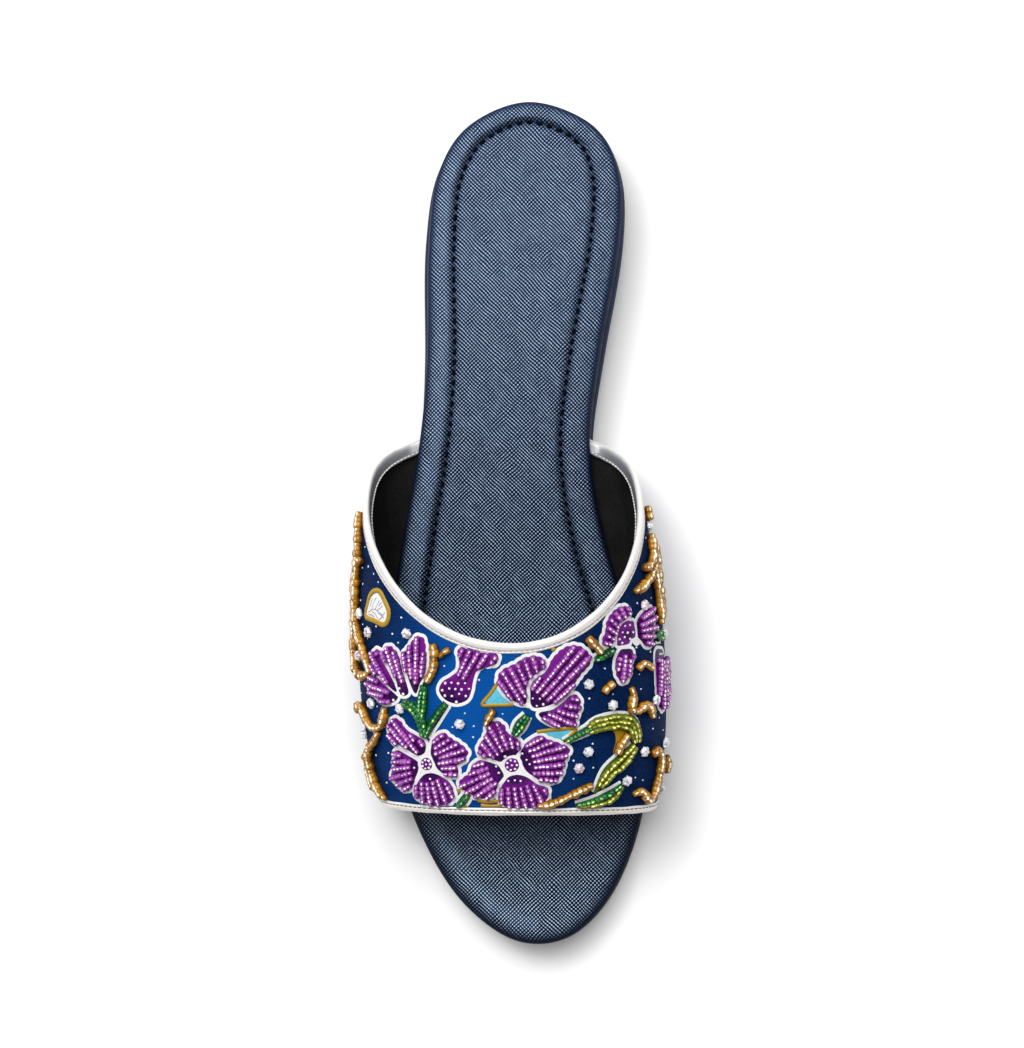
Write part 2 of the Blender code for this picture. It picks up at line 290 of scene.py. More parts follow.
def vamp_line(side, turn, station):
    """Give points of the vamp for mixed sides."""
    lateral = vamp_point(LATERAL, turn, station)
    medial = vamp_point(MEDIAL, turn, station)
    return np.where((side == LATERAL)[..., None], lateral, medial)


class VampChart:
    """The lasted vamp unrolled: points and normals by distance round it from the crest and by station."""

    STATION_START = 0.098
    STATION_STEP = 0.0005
    STATION_ROWS = 238
    ACROSS_REACH = 0.085
    ACROSS_STEP = 0.00025
    TURNS = 481
    LAST_CELL = 1.001

    def __init__(self):
        stations = self.STATION_START + self.STATION_STEP * np.arange(self.STATION_ROWS)
        columns = int(2 * self.ACROSS_REACH / self.ACROSS_STEP) + 1
        across = np.linspace(-self.ACROSS_REACH, self.ACROSS_REACH, columns)
        side, turn = crossed_turns(self.TURNS, 1.0)
        rows = []
        for station in stations:
            line = vamp_line(side, turn, np.full(self.TURNS, station))
            distance = run_length(line)
            distance -= distance[self.TURNS // 2]
            rows.append(np.stack([np.interp(across, distance, line[:, axis]) for axis in range(3)], -1))
        self.points = np.array(rows)
        along = np.gradient(self.points, axis=0)
        around = np.gradient(self.points, axis=1)
        self.normals = unit(np.cross(along, around))
        self.throat = self.edge(THROAT_LINE)
        self.front = self.edge(FRONT_LINE)

    def edge(self, line):
        """Give one edge of the vamp as charted distances across and stations."""
        side, turn = crossed_turns(self.TURNS, 1.0)
        station = edge_station(line, side, turn)
        places = vamp_line(side, turn, station)
        row = np.rint((station - self.STATION_START) / self.STATION_STEP).astype(int)
        gaps = np.linalg.norm(self.points[row] - places[:, None], axis=-1)
        across = (np.argmin(gaps, axis=1) - (self.points.shape[1] - 1) / 2) * self.ACROSS_STEP
        order = np.argsort(across)
        return across[order], station[order]

    def read(self, table, chart):
        """Read a charted table between its rows and columns; the chart is in metres."""
        chart = np.asarray(chart)
        row = (chart[..., 1] - self.STATION_START) / self.STATION_STEP
        column = (chart[..., 0] + self.ACROSS_REACH) / self.ACROSS_STEP
        row = np.clip(row, 0, table.shape[0] - self.LAST_CELL)
        column = np.clip(column, 0, table.shape[1] - self.LAST_CELL)
        top = row.astype(int)
        left = column.astype(int)
        down = (row - top)[..., None]
        right = (column - left)[..., None]
        near = table[top, left] * (1 - right) + table[top, left + 1] * right
        far = table[top + 1, left] * (1 - right) + table[top + 1, left + 1] * right
        return near * (1 - down) + far * down

    def place(self, chart, lift):
        """Give points a lift above the cloth, and the normals there."""
        normal = unit(self.read(self.normals, chart))
        return self.read(self.points, chart) + normal * np.asarray(lift)[..., None], normal

    def keep_between_bindings(self, chart, margin):
        """Pull charted points off the bindings that cover both edges of the cloth."""
        chart = np.array(chart)
        back = np.interp(chart[..., 0], *self.throat) + margin
        front = np.interp(chart[..., 0], *self.front) - margin
        chart[..., 1] = np.clip(chart[..., 1], back, front)
        return chart


CHART = VampChart()

# Petals, in chart millimetres: the root that their bead rows spread from, how far the dark base is bare of
# rows, and the outline
Petal = namedtuple("Petal", "root bare outline")
PETALS = (
    # Flower at the front, lateral side
    Petal((-24.6, 195.4), 5.0, (
        (-36.8, 182.0), (-34.5, 182.3), (-32.0, 185.0), (-28.5, 186.8), (-26.0, 188.5), (-26.2, 191.4),
        (-28.6, 192.2), (-33.0, 190.0), (-36.4, 188.8), (-38.3, 186.5), (-38.4, 183.8))),
    Petal((-24.0, 195.2), 6.2, (
        (-35.8, 191.2), (-31.5, 192.8), (-28.6, 194.4), (-28.4, 196.6), (-29.6, 199.4), (-30.6, 202.0),
        (-33.4, 202.6), (-36.0, 200.6), (-38.2, 198.9), (-36.8, 196.4), (-36.6, 193.4))),
    Petal((-25.2, 193.4), 6.4, (
        (-26.2, 198.2), (-28.8, 201.2), (-29.2, 204.0), (-26.6, 206.0), (-24.0, 207.0), (-21.0, 206.8),
        (-18.4, 206.0), (-17.3, 203.5), (-18.4, 200.6), (-20.6, 198.9), (-23.4, 197.8))),
    Petal((-26.8, 194.6), 5.2, (
        (-23.7, 193.0), (-23.7, 189.5), (-22.4, 187.0), (-20.0, 185.8), (-17.8, 187.3), (-15.0, 189.0),
        (-13.0, 191.2), (-14.2, 193.8), (-16.2, 195.0), (-15.9, 197.7), (-18.4, 198.2), (-21.5, 196.6))),
    # Flower at the front, middle
    Petal((0.6, 196.6), 6.6, (
        (-6.6, 183.2), (-4.6, 182.2), (-2.4, 183.2), (-1.2, 185.6), (1.6, 187.4), (2.6, 189.2),
        (1.6, 191.6), (-1.0, 192.4), (-3.2, 193.8), (-6.2, 193.0), (-9.0, 192.0), (-9.4, 189.6),
        (-7.6, 186.8))),
    Petal((-2.0, 195.2), 8.2, (
        (2.5, 192.4), (2.8, 190.2), (4.8, 188.2), (8.0, 186.4), (10.6, 187.6), (13.5, 188.6),
        (16.6, 190.2), (15.4, 193.2), (14.4, 197.0), (12.8, 199.4), (9.5, 199.8), (6.4, 198.2),
        (4.0, 196.2))),
    Petal((0.4, 192.6), 8.4, (
        (-3.8, 204.2), (-3.0, 201.0), (-0.8, 198.6), (1.8, 198.0), (4.4, 198.8), (7.3, 200.8),
        (10.0, 201.8), (10.0, 204.5), (8.4, 206.8), (5.0, 207.4), (1.5, 207.4), (-2.0, 207.0))),
    Petal((2.0, 193.6), 8.8, (
        (-3.2, 196.6), (-4.4, 195.0), (-7.0, 194.0), (-9.6, 193.8), (-11.6, 195.4), (-12.4, 197.6),
        (-15.0, 199.6), (-15.0, 201.6), (-12.8, 203.2), (-10.0, 204.4), (-7.0, 204.6), (-4.9, 203.0),
        (-4.0, 200.4), (-2.6, 198.4))),
    # Large bloom by the throat
    Petal((10.0, 184.0), 8.6, (
        (-3.6, 169.4), (-2.2, 167.2), (1.5, 165.4), (4.0, 163.8), (7.5, 163.2), (9.8, 164.8),
        (9.6, 166.6), (7.4, 168.0), (5.4, 169.8), (4.4, 172.0), (4.4, 174.6), (4.0, 176.8),
        (1.6, 176.4), (-1.4, 174.2), (-3.0, 172.0))),
    Petal((-2.0, 187.0), 16.4, (
        (5.6, 172.4), (6.8, 170.0), (9.8, 167.8), (12.0, 164.2), (15.0, 161.2), (18.0, 160.2),
        (20.8, 160.8), (23.2, 163.2), (22.8, 165.6), (20.4, 168.2), (17.8, 171.8), (16.0, 174.2),
        (12.5, 176.6), (9.0, 177.8), (6.4, 177.8), (5.6, 175.6))),
    Petal((5.4, 176.4), 5.4, (
        (8.2, 179.8), (12.0, 178.8), (15.0, 176.8), (17.4, 174.6), (19.6, 175.2), (19.9, 178.0),
        (18.8, 181.0), (18.2, 183.2), (15.6, 183.7), (12.4, 183.0), (9.6, 181.6))),
    # Fan of petals, lateral side
    Petal((-28.6, 177.4), 6.4, (
        (-29.0, 158.4), (-27.3, 157.6), (-25.8, 158.6), (-25.4, 161.0), (-25.2, 164.0), (-25.6, 168.0),
        (-27.4, 171.2), (-28.6, 174.0), (-30.0, 172.0), (-31.4, 168.4), (-32.6, 165.2), (-32.6, 162.6),
        (-30.8, 160.8))),
    Petal((-30.4, 179.0), 8.4, (
        (-40.2, 161.6), (-38.0, 160.6), (-35.6, 162.0), (-34.2, 164.2), (-33.2, 168.0), (-31.2, 173.8),
        (-33.8, 174.4), (-35.2, 170.6), (-37.4, 166.8), (-40.2, 164.0))),
    Petal((-33.0, 177.2), 6.0, (
        (-46.2, 163.6), (-44.0, 161.8), (-41.6, 162.4), (-41.2, 164.8), (-38.6, 168.0), (-36.2, 171.6),
        (-35.2, 174.0), (-38.2, 172.2), (-41.5, 169.8), (-44.6, 168.2), (-45.6, 166.0))),
    Petal((-30.4, 175.6), 6.6, (
        (-48.6, 172.2), (-46.6, 169.8), (-43.6, 169.8), (-40.0, 172.0), (-36.6, 174.0), (-35.0, 175.4),
        (-36.8, 176.8), (-40.6, 177.0), (-44.4, 175.0), (-47.0, 173.8))),
    # Bud hanging from the throat
    Petal((-18.0, 177.0), 8.4, (
        (-15.0, 161.0), (-11.0, 161.4), (-7.4, 162.4), (-4.6, 162.2), (-3.8, 164.0), (-5.0, 165.4),
        (-8.2, 165.6), (-10.2, 167.6), (-11.2, 170.6), (-11.7, 173.2), (-13.0, 175.8), (-16.2, 176.8),
        (-19.4, 175.6), (-21.0, 173.2), (-20.0, 170.8), (-17.6, 169.3), (-15.3, 167.4), (-14.8, 164.6))),
    # Orchid by the throat, medial side
    Petal((36.6, 159.0), 5.0, (
        (30.6, 151.0), (33.0, 149.4), (36.0, 149.2), (37.0, 150.6), (36.2, 152.2), (33.9, 152.8),
        (32.6, 154.6), (31.6, 157.0), (30.4, 159.6), (28.2, 160.2), (27.2, 158.9), (28.3, 156.4),
        (28.9, 153.4))),
    Petal((36.0, 157.0), 90.0, (
        (33.4, 154.8), (35.4, 153.3), (38.2, 153.4), (39.2, 155.4), (39.0, 157.6), (37.2, 158.3),
        (36.2, 159.6), (33.0, 160.0), (32.2, 159.4), (32.5, 157.0))),
    Petal((36.4, 156.4), 4.4, (
        (40.2, 153.8), (42.0, 151.8), (45.6, 150.0), (48.8, 149.8), (49.6, 152.0), (49.2, 155.0),
        (47.4, 158.0), (46.2, 160.2), (43.6, 160.4), (42.0, 159.0), (40.2, 157.4))),
    Petal((35.6, 157.4), 5.4, (
        (33.2, 161.8), (35.0, 161.4), (37.4, 161.6), (37.8, 163.4), (36.7, 165.4), (36.5, 167.6),
        (35.3, 169.8), (33.8, 170.9), (32.3, 169.6), (31.5, 167.2), (31.7, 164.4))),
    # Petal that wraps over the medial side
    Petal((53.4, 157.4), 7.4, (
        (49.4, 162.2), (53.0, 161.8), (56.4, 162.8), (58.0, 167.0), (57.6, 173.0), (55.0, 178.0),
        (51.4, 179.4), (49.2, 177.2), (48.6, 173.0), (48.6, 166.0))),
)

# Dotted round eyes of the two front flowers: across, station, radius
EYES = ((-25.5, 194.9, 1.9), (0.0, 194.9, 2.15))

# White grounds under the middles of flowers: across, station, radius
HEARTS = ((-25.5, 194.9, 3.2), (0.4, 195.0, 3.4), (39.6, 158.6, 1.8), (5.0, 176.6, 1.6))

# Leaves, in chart millimetres: bead colour, the part of the width from -1 to 1 that those beads cover, the
# sides that have a white line, then across, station and width along the middle line
Leaf = namedtuple("Leaf", "beads low high edged line")
LEAVES = (
    Leaf("green", -0.85, 0.85, (), (
        (-25.8, 187.2, 1.4), (-26.4, 182.6, 3.2), (-28.8, 178.6, 3.4), (-32.8, 176.4, 1.6))),
    Leaf("green", -0.85, 0.85, (), ((-26.9, 182.0, 2.2), (-26.2, 176.4, 3.4), (-25.5, 170.8, 1.4))),
    Leaf("green", -0.85, 0.85, (-1,), ((-25.4, 186.8, 1.4), (-22.8, 181.8, 3.0), (-19.0, 176.8, 2.2))),
    Leaf("green", -0.85, 0.85, (1, -1), ((0.8, 186.0, 1.8), (2.4, 183.2, 3.2), (4.6, 180.2, 1.8))),
    Leaf("green", -0.85, 0.85, (1,), ((24.6, 164.2, 1.6), (27.6, 163.0, 2.8), (30.4, 161.2, 2.0))),
    Leaf("green", -0.85, 0.85, (1, -1), ((49.0, 158.4, 2.2), (51.6, 157.6, 3.4), (54.4, 158.4, 1.8))),
    Leaf("green", -0.85, 0.85, (1, -1), ((-16.2, 207.0, 1.4), (-14.4, 205.6, 2.6), (-12.8, 203.4, 2.0))),
    Leaf("green", -0.85, 0.85, (1, -1), ((15.0, 188.0, 0.9), (19.0, 186.1, 1.7), (23.4, 184.0, 2.4))),
    Leaf("lime", -1.0, 0.95, (1,), (
        (22.4, 184.5, 2.4), (26.0, 183.0, 3.9), (32.0, 182.2, 4.3), (36.6, 183.6, 4.5), (38.0, 188.4, 2.6))),
    Leaf("lime", -0.8, 1.05, (-1,), (
        (37.2, 189.6, 2.4), (33.0, 193.8, 4.2), (28.2, 197.8, 3.8), (24.2, 203.4, 0.8))),
    Leaf("lime", -1.0, -0.1, (1,), (
        (18.4, 206.9, 1.0), (24.0, 206.0, 2.6), (29.0, 204.2, 3.4), (33.0, 200.8, 0.8))),
)

# Gold bead cords, in chart millimetres
GOLD_CORDS = (
    ((-22.4, 159.6), (-22.0, 162.8), (-22.6, 166.6), (-24.3, 170.2)),
    ((-20.8, 163.0), (-18.8, 161.6), (-17.6, 160.9)),
    ((-5.2, 178.4), (-6.2, 180.4), (-7.5, 182.6)),
    ((22.3, 157.6), (24.0, 159.4), (26.2, 161.8)),
    ((26.8, 173.4), (28.4, 172.0), (30.0, 170.9)),
    ((36.0, 172.4), (36.6, 175.0), (36.0, 178.4), (38.4, 179.2), (40.6, 177.7), (43.0, 178.3), (44.2, 181.0)),
    ((38.8, 167.0), (41.0, 165.5), (44.6, 166.8)),
    ((34.2, 186.2), (32.4, 188.6), (31.0, 191.4)),
    ((7.6, 206.8), (12.0, 205.8), (17.0, 203.5), (23.0, 200.8)),
    ((44.0, 192.2), (46.4, 191.4), (48.6, 193.8), (47.6, 198.2), (46.0, 202.2), (43.8, 205.6), (41.4, 205.0),
     (39.4, 202.9), (36.4, 203.6)),
    ((38.8, 144.6), (42.6, 143.4), (47.0, 141.0), (51.0, 138.6)),
    ((44.6, 137.8), (48.4, 137.4), (52.0, 135.0)),
    ((58.8, 120.2), (57.6, 124.0)),
    ((55.6, 128.4), (54.6, 131.0), (53.0, 137.0), (52.8, 144.0), (53.4, 150.0), (53.0, 154.0)),
    ((59.8, 130.4), (58.6, 134.0), (57.0, 138.0), (55.6, 145.0), (56.6, 151.0)),
    ((-45.8, 168.2), (-47.6, 164.6), (-51.0, 160.2), (-55.0, 156.2), (-58.4, 151.0), (-58.8, 144.0),
     (-57.6, 137.0), (-58.4, 130.0), (-60.6, 122.0)),
    ((-46.4, 168.6), (-50.0, 169.4), (-56.0, 168.0), (-61.0, 163.0), (-62.4, 156.0), (-62.0, 147.0),
     (-62.6, 138.0)),
    ((-39.2, 178.4), (-39.6, 181.2), (-41.6, 184.2), (-46.0, 184.0), (-49.4, 181.2), (-52.0, 178.8),
     (-57.0, 178.6), (-62.0, 180.0)),
    ((-42.0, 185.6), (-44.4, 188.6), (-47.8, 190.8), (-49.4, 194.0), (-48.2, 197.6), (-46.6, 200.6),
     (-43.8, 203.4), (-40.6, 205.2)),
    ((-53.0, 136.0), (-56.0, 135.4), (-58.0, 136.4)),
    ((-52.4, 192.6), (-55.6, 195.4), (-56.2, 199.4), (-53.6, 203.0)),
    ((56.2, 193.4), (57.2, 195.6), (57.0, 198.2)),
)

# Dyed patches, lines and spots, and the white leaf, in chart millimetres
TURQUOISE_PATCHES = (
    ((-3.8, 171.6), (-1.4, 173.8), (1.0, 176.6), (-2.6, 177.0), (-7.6, 176.8), (-5.8, 174.2)),
    ((8.4, 185.0), (13.0, 184.7), (18.0, 184.7), (16.2, 186.8), (14.2, 187.8), (11.4, 187.4)),
)
MUSTARD_LINES = (
    ((-3.8, 170.8), (-5.8, 173.8), (-8.4, 177.2), (-5.0, 177.4), (0.6, 177.2)),
    ((7.4, 185.2), (12.0, 184.6), (18.6, 184.4), (16.8, 186.4)),
    ((-10.2, 205.4), (-7.0, 205.9), (-3.4, 205.4)),
    ((-9.2, 206.9), (-6.4, 207.2), (-3.0, 206.9)),
)
MUSTARD_PATCH = (
    (30.4, 184.8), (33.0, 185.0), (35.0, 186.0), (34.4, 187.8), (32.4, 190.4), (30.8, 192.2), (30.2, 191.2),
    (31.0, 188.6), (31.0, 186.6))
MUSTARD_SPOTS = ((12.4, 161.2), (-15.6, 202.6), (-13.8, 207.3))
WHITE_LEAF = (
    (-45.6, 145.2), (-43.0, 145.2), (-41.0, 147.4), (-39.2, 150.2), (-39.4, 152.6), (-41.0, 153.6),
    (-45.0, 152.5), (-49.6, 151.7), (-50.0, 150.8), (-48.8, 148.6), (-47.8, 146.6))
WHITE_LEAF_VEINS = (
    ((-48.6, 150.8), (-45.0, 149.8), (-41.0, 151.4)),
    ((-46.6, 150.2), (-45.6, 148.2), (-44.0, 146.4)),
    ((-44.6, 149.9), (-43.4, 148.4), (-42.6, 147.2)),
    ((-46.2, 150.4), (-44.2, 151.4), (-43.4, 152.4)),
    ((-43.6, 150.2), (-42.0, 149.4), (-41.0, 148.8)),
    ((-47.6, 149.2), (-46.9, 147.8), (-46.0, 146.6)),
    ((-43.2, 150.9), (-41.8, 151.4), (-40.4, 152.4)),
    ((-48.2, 151.4), (-46.6, 151.5), (-45.2, 152.0)),
    ((-42.8, 149.0), (-41.8, 148.0), (-41.4, 147.9)),
    ((-42.6, 152.8), (-41.4, 152.2), (-39.9, 150.6)),
)

# Claw-set stones, in chart millimetres
STONES = (
    (-31.2, 156.6), (-47.6, 156.6), (-46.0, 177.4), (-33.8, 178.6), (-15.0, 182.8), (-54.6, 151.2),
    (43.8, 148.6), (22.6, 171.2), (30.0, 177.4), (47.0, 176.4), (22.3, 191.0), (19.5, 195.8), (41.0, 191.4),
    (34.4, 199.8), (53.6, 189.4), (51.4, 203.0), (-55.4, 163.6), (-53.6, 186.8), (56.6, 157.0), (58.2, 125.8))


def length_setting(name, description, default):
    """Describe a length that a user may change."""
    return FloatProperty(name=name, description=description, default=default, min=0.0, unit="LENGTH")


def colour_setting(name, description, red, green, blue):
    """Describe a display colour that a user may change."""
    shares = (red / 255, green / 255, blue / 255)
    return FloatVectorProperty(
        name=name, description=description, default=shares, size=3, min=0.0, max=1.0, subtype="COLOR_GAMMA"
    )


class SlideSizes(PropertyGroup):
    """Sizes of the fine work."""

    grain_pitch: length_setting("Grain pitch", "Spacing of the footbed's crossed grain lines", 0.00083)
    stitch_pitch: length_setting("Stitch pitch", "Spacing of the quilting stitches", 0.00305)
    stitch_length: length_setting("Stitch length", "Visible length of a quilting stitch", 0.0018)
    stitch_width: length_setting("Stitch width", "Thread thickness of a quilting stitch", 0.00125)
    binding_stitch_pitch: length_setting("Binding stitch pitch", "Spacing of the binding's stitches", 0.0016)
    bead_pitch: length_setting("Bead pitch", "Spacing of the seed beads in a row", 0.00112)
    bead_width: length_setting("Bead width", "Diameter of a seed bead", 0.00200)
    row_spacing: length_setting("Row spacing", "Spacing of the bead rows in a petal", 0.00210)
    cord_bead_pitch: length_setting("Cord bead pitch", "Spacing of the gold beads", 0.00140)
    cord_bead_width: length_setting("Cord bead width", "Diameter of a gold bead", 0.00278)
    outline_width: length_setting("Outline width", "Width of the white outlines", 0.00092)
    outline_height: length_setting("Outline height", "Height of the white outlines", 0.00013)
    pad_height: length_setting("Pad height", "Swell of the embroidered petals", 0.00035)
    stone_width: length_setting("Stone width", "Diameter of a claw-set stone", 0.0030)
    dot_width: length_setting("Dot width", "Diameter of a painted dot", 0.00062)


class SlideColours(PropertyGroup):
    """Display colours of the finishes."""

    # Pale raised lines of the grain: the gloss on the ridges painted into their colour
    glossy_grain_ridge: colour_setting("Grain ridge", "Raised lines of the navy sheet", 177, 201, 230)
    grain_valley: colour_setting("Grain valley", "Hollows of the navy sheet", 0, 10, 38)
    # Hollows at the heel: painted paler, as if the heel were better lit
    lit_heel_valley: colour_setting("Worn valley", "Hollows of the navy sheet at the heel", 16, 31, 58)
    # Hollows on the lateral rim: painted paler as a sheen of light
    sheen_rim_valley: colour_setting("Rim valley", "Hollows of the navy sheet on the outer rim", 52, 70, 98)
    # Smooth turned edge of the sheet, painted dark as shade; the same dark paints shade in the quilting
    # groove and over the wedge cover
    shaded_sheet_edge: colour_setting("Sheet edge", "Smooth turned edge of the navy sheet", 20, 38, 70)
    board_edge: colour_setting("Board edge", "Cut edge under the footbed", 66, 68, 78)
    rubber: colour_setting("Rubber", "Outsole", 44, 36, 34)
    # Near-black quilting thread, which also stands in for the shade of the stitch holes
    thread: colour_setting("Thread", "Quilting thread", 4, 6, 12)
    cobalt: colour_setting("Cobalt", "Brightest blue of the dyed cloth", 6, 84, 166)
    mid_blue: colour_setting("Middle blue", "Middle blue of the dyed cloth", 7, 52, 112)
    navy: colour_setting("Navy", "Deepest blue of the dyed cloth", 6, 20, 54)
    lining: colour_setting("Lining", "Black lining cloth", 23, 23, 24)
    silver: colour_setting("Silver", "Folded metallic binding", 253, 249, 246)
    toe_silver: colour_setting("Toe silver", "Folded metallic binding of the toe", 255, 250, 243)
    # Grey painted as the shade of the throat binding's inner leg, seam, crest and fold
    binding_shade_grey: colour_setting("Binding inside", "Inner leg of the binding", 104, 108, 114)
    # Brown painted as the shade and dark reflection of the toe binding's seam and fold
    toe_fold_shade: colour_setting("Fold brown", "Shaded fold of the toe binding", 118, 98, 86)
    thread_pale: colour_setting("Pale thread", "Stitches inside the bindings", 226, 220, 212)
    thread_dull: colour_setting("Dull thread", "Stitches outside on the throat binding", 168, 150, 138)
    # Dark thread, which also stands in for the shade of the needle holes
    thread_dark_and_hole_shade: colour_setting("Dark thread", "Stitches outside on the toe binding", 84, 72, 64)
    petal_deep: colour_setting("Petal base", "Dark base of the petals", 50, 2, 74)
    petal_light: colour_setting("Petal", "Purple ground of the petals", 118, 24, 136)
    petal_bead: colour_setting("Petal bead", "Purple glass of the seed beads", 127, 35, 147)
    pale_bead: colour_setting("Pale petal bead", "Palest purple glass of the seed beads", 170, 82, 182)
    # Sparks: the beads' silver lining, painted as glowing highlights on the side towards the light
    petal_spark: colour_setting("Petal spark", "Silver lining of the purple beads", 252, 236, 250)
    warm_spark: colour_setting("Warm spark", "Rosy lining of some purple beads", 255, 226, 198)
    gold: colour_setting("Gold", "Gold beads", 192, 132, 20)
    dark_gold: colour_setting("Dark gold", "Darkest gold beads", 134, 84, 6)
    # Silver lining of the gold beads, painted as a glowing highlight
    gold_spark: colour_setting("Gold spark", "Silver lining of the gold beads", 255, 242, 170)
    green: colour_setting("Green", "Green beads", 20, 124, 54)
    # Silver lining of the green beads, painted as a glowing highlight
    green_spark: colour_setting("Green spark", "Silver lining of the green beads", 136, 240, 172)
    lime: colour_setting("Lime", "Yellow-green beads", 124, 132, 2)
    dark_lime: colour_setting("Dark lime", "Darkest yellow-green beads", 74, 88, 2)
    # Silver lining of the yellow-green beads, painted as a glowing highlight
    lime_spark: colour_setting("Lime spark", "Silver lining of the yellow-green beads", 246, 240, 60)
    leaf: colour_setting("Leaf", "Deep green ground of the leaves", 8, 74, 36)
    lime_leaf: colour_setting("Lime leaf", "Olive ground under the yellow-green beads", 84, 98, 4)
    turquoise: colour_setting("Turquoise", "Turquoise dyed patches", 96, 198, 224)
    mustard: colour_setting("Mustard", "Mustard lines", 182, 142, 14)
    vein: colour_setting("Vein", "Marks on the white leaf", 138, 128, 152)
    paint: colour_setting("Paint", "White outlines and dots", 254, 254, 252)
    stone: colour_setting("Stone", "Clear stones", 250, 250, 253)
    floor: colour_setting("Floor", "Studio floor", 246, 246, 246)


def linear(colour):
    """Turn a display colour into the linear one that shader sockets take."""
    channels = np.array(colour[:3])
    low = channels / 12.92
    high = ((channels + 0.055) / 1.055) ** 2.4
    return (*np.where(channels <= 0.04045, low, high), 1.0)


def toned(colour, share):
    """Give a display colour made lighter or darker by a share, as shader sockets take it."""
    return linear([min(1.0, share * channel) for channel in colour])


class Finish:
    """A material, with short ways to add and link its nodes."""

    # Bands that a wave texture of scale 1 has in two pi metres
    WAVE_BANDS = 20

    def __init__(self, name, sockets):
        self.material = bpy.data.materials.new(name)
        self.material.use_nodes = True
        self.nodes = self.material.node_tree.nodes
        self.links = self.material.node_tree.links
        self.shader = self.nodes["Principled BSDF"]
        self.set(self.shader, sockets)

    def set(self, node, inputs):
        """Link or set a node's inputs."""
        for socket, value in inputs.items():
            if isinstance(value, bpy.types.NodeSocket):
                self.links.new(value, node.inputs[socket])
            else:
                node.inputs[socket].default_value = value

    def add(self, kind, inputs, **settings):
        """Add a shader node."""
        node = self.nodes.new("ShaderNode" + kind)
        for setting, value in settings.items():
            setattr(node, setting, value)
        self.set(node, inputs)
        return node

    def object_place(self):
        """Give object coordinates."""
        return self.add("TexCoord", {}).outputs["Object"]

    def laid_place(self):
        """Give the piece's own laid-out coordinates."""
        return self.add("UVMap", {}, uv_map="lay").outputs["UV"]

    def kept(self, name):
        """Give a value kept at the points of the piece."""
        return self.add("Attribute", {}, attribute_name=name).outputs["Fac"]

    def math(self, operation, first, second=0.0, third=0.0):
        """Work with values."""
        inputs = {0: first, 1: second, 2: third}
        return self.add("Math", inputs, operation=operation, use_clamp=False).outputs[0]

    def between(self, value, low, high):
        """Go from 0 to 1 while a value goes from low to high."""
        inputs = {"Value": value, "From Min": low, "From Max": high}
        return self.add("MapRange", inputs, interpolation_type="SMOOTHSTEP").outputs["Result"]

    def blend(self, share, first, second):
        """Go from one colour to another."""
        return self.add("Mix", {0: share, 6: first, 7: second}, data_type="RGBA").outputs[2]

    def noise(self, place, scale, detail=2.0):
        """Give a cloudy pattern with a number of clouds a metre."""
        return self.add("TexNoise", {"Vector": place, "Scale": scale, "Detail": detail}).outputs["Fac"]

    def cells(self, place, scale):
        """Give each small cell of a broken pattern a value of its own."""
        mixed = self.add("TexVoronoi", {"Vector": place, "Scale": scale}).outputs["Color"]
        return self.add("SeparateXYZ", {0: mixed}).outputs[0]

    def lines(self, place, pitch, angle, waver):
        """Give parallel ridges a pitch apart, turned by an angle; waver is how far they wander."""
        turned = self.add("Mapping", {"Vector": place, "Rotation": (0.0, 0.0, angle)}).outputs["Vector"]
        inputs = {
            "Vector": turned,
            "Scale": 2 * math.pi / (self.WAVE_BANDS * pitch),
            "Distortion": waver,
            "Detail": 1.0,
            "Detail Scale": 0.45,
        }
        return self.add("TexWave", inputs, wave_type="BANDS", bands_direction="X").outputs["Fac"]

    def colour(self, value):
        """Link the shader's colour."""
        self.set(self.shader, {"Base Color": value})

    def relief(self, height, depth):
        """Link bump of a real depth."""
        bump = self.add("Bump", {"Height": height, "Distance": depth, "Strength": 1.0})
        self.set(self.shader, {"Normal": bump.outputs["Normal"]})


def skin(points, values=None, lay=None, outward=None):
    """Lay a grid over rows of points and weld what meets.

    Values are kept at the points by name and lay is their flat layout. Outward gives the way that the faces
    of an open sheet look; a closed skin needs none.
    """
    rows, columns = points.shape[:2]
    sheet = bmesh.new()
    bmesh.ops.create_grid(sheet, x_segments=columns - 1, y_segments=rows - 1, size=0.5)
    sheet.verts.index_update()
    layers = {name: sheet.verts.layers.float.new(name) for name in values or {}}
    flat = points.reshape(-1, 3)
    for index, vertex in enumerate(sheet.verts):
        vertex.co = flat[index]
        for name, layer in layers.items():
            vertex[layer] = float(values[name].flat[index])
    if lay is not None:
        channel = sheet.loops.layers.uv.new("lay")
        flat_lay = lay.reshape(-1, 2)
        for face in sheet.faces:
            for loop in face.loops:
                loop[channel].uv = flat_lay[loop.vert.index]
    if outward is not None:
        sheet.normal_update()
        ways = outward.reshape(-1, 3)
        agreement = sum(face.normal.dot(Vector(ways[face.verts[0].index])) for face in sheet.faces)
        if agreement < 0:
            bmesh.ops.reverse_faces(sheet, faces=sheet.faces)
    bmesh.ops.remove_doubles(sheet, verts=sheet.verts, dist=WELD)
    if outward is None:
        bmesh.ops.recalc_face_normals(sheet, faces=sheet.faces)
    return sheet


def joined(sheets):
    """Join several sheets into one."""
    whole = bmesh.new()
    for sheet in sheets:
        mesh = bpy.data.meshes.new("joining")
        sheet.to_mesh(mesh)
        sheet.free()
        whole.from_mesh(mesh)
        bpy.data.meshes.remove(mesh)
    return whole


def place_piece(name, mesh, finish, smooth=True):
    """Make an object of a mesh that rides on the shoe."""
    mesh.polygons.foreach_set("use_smooth", np.full(len(mesh.polygons), smooth))
    mesh.materials.append(finish.material)
    piece = bpy.data.objects.new(name, mesh)
    bpy.context.scene.collection.objects.link(piece)
    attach(piece, BODY)
    return piece


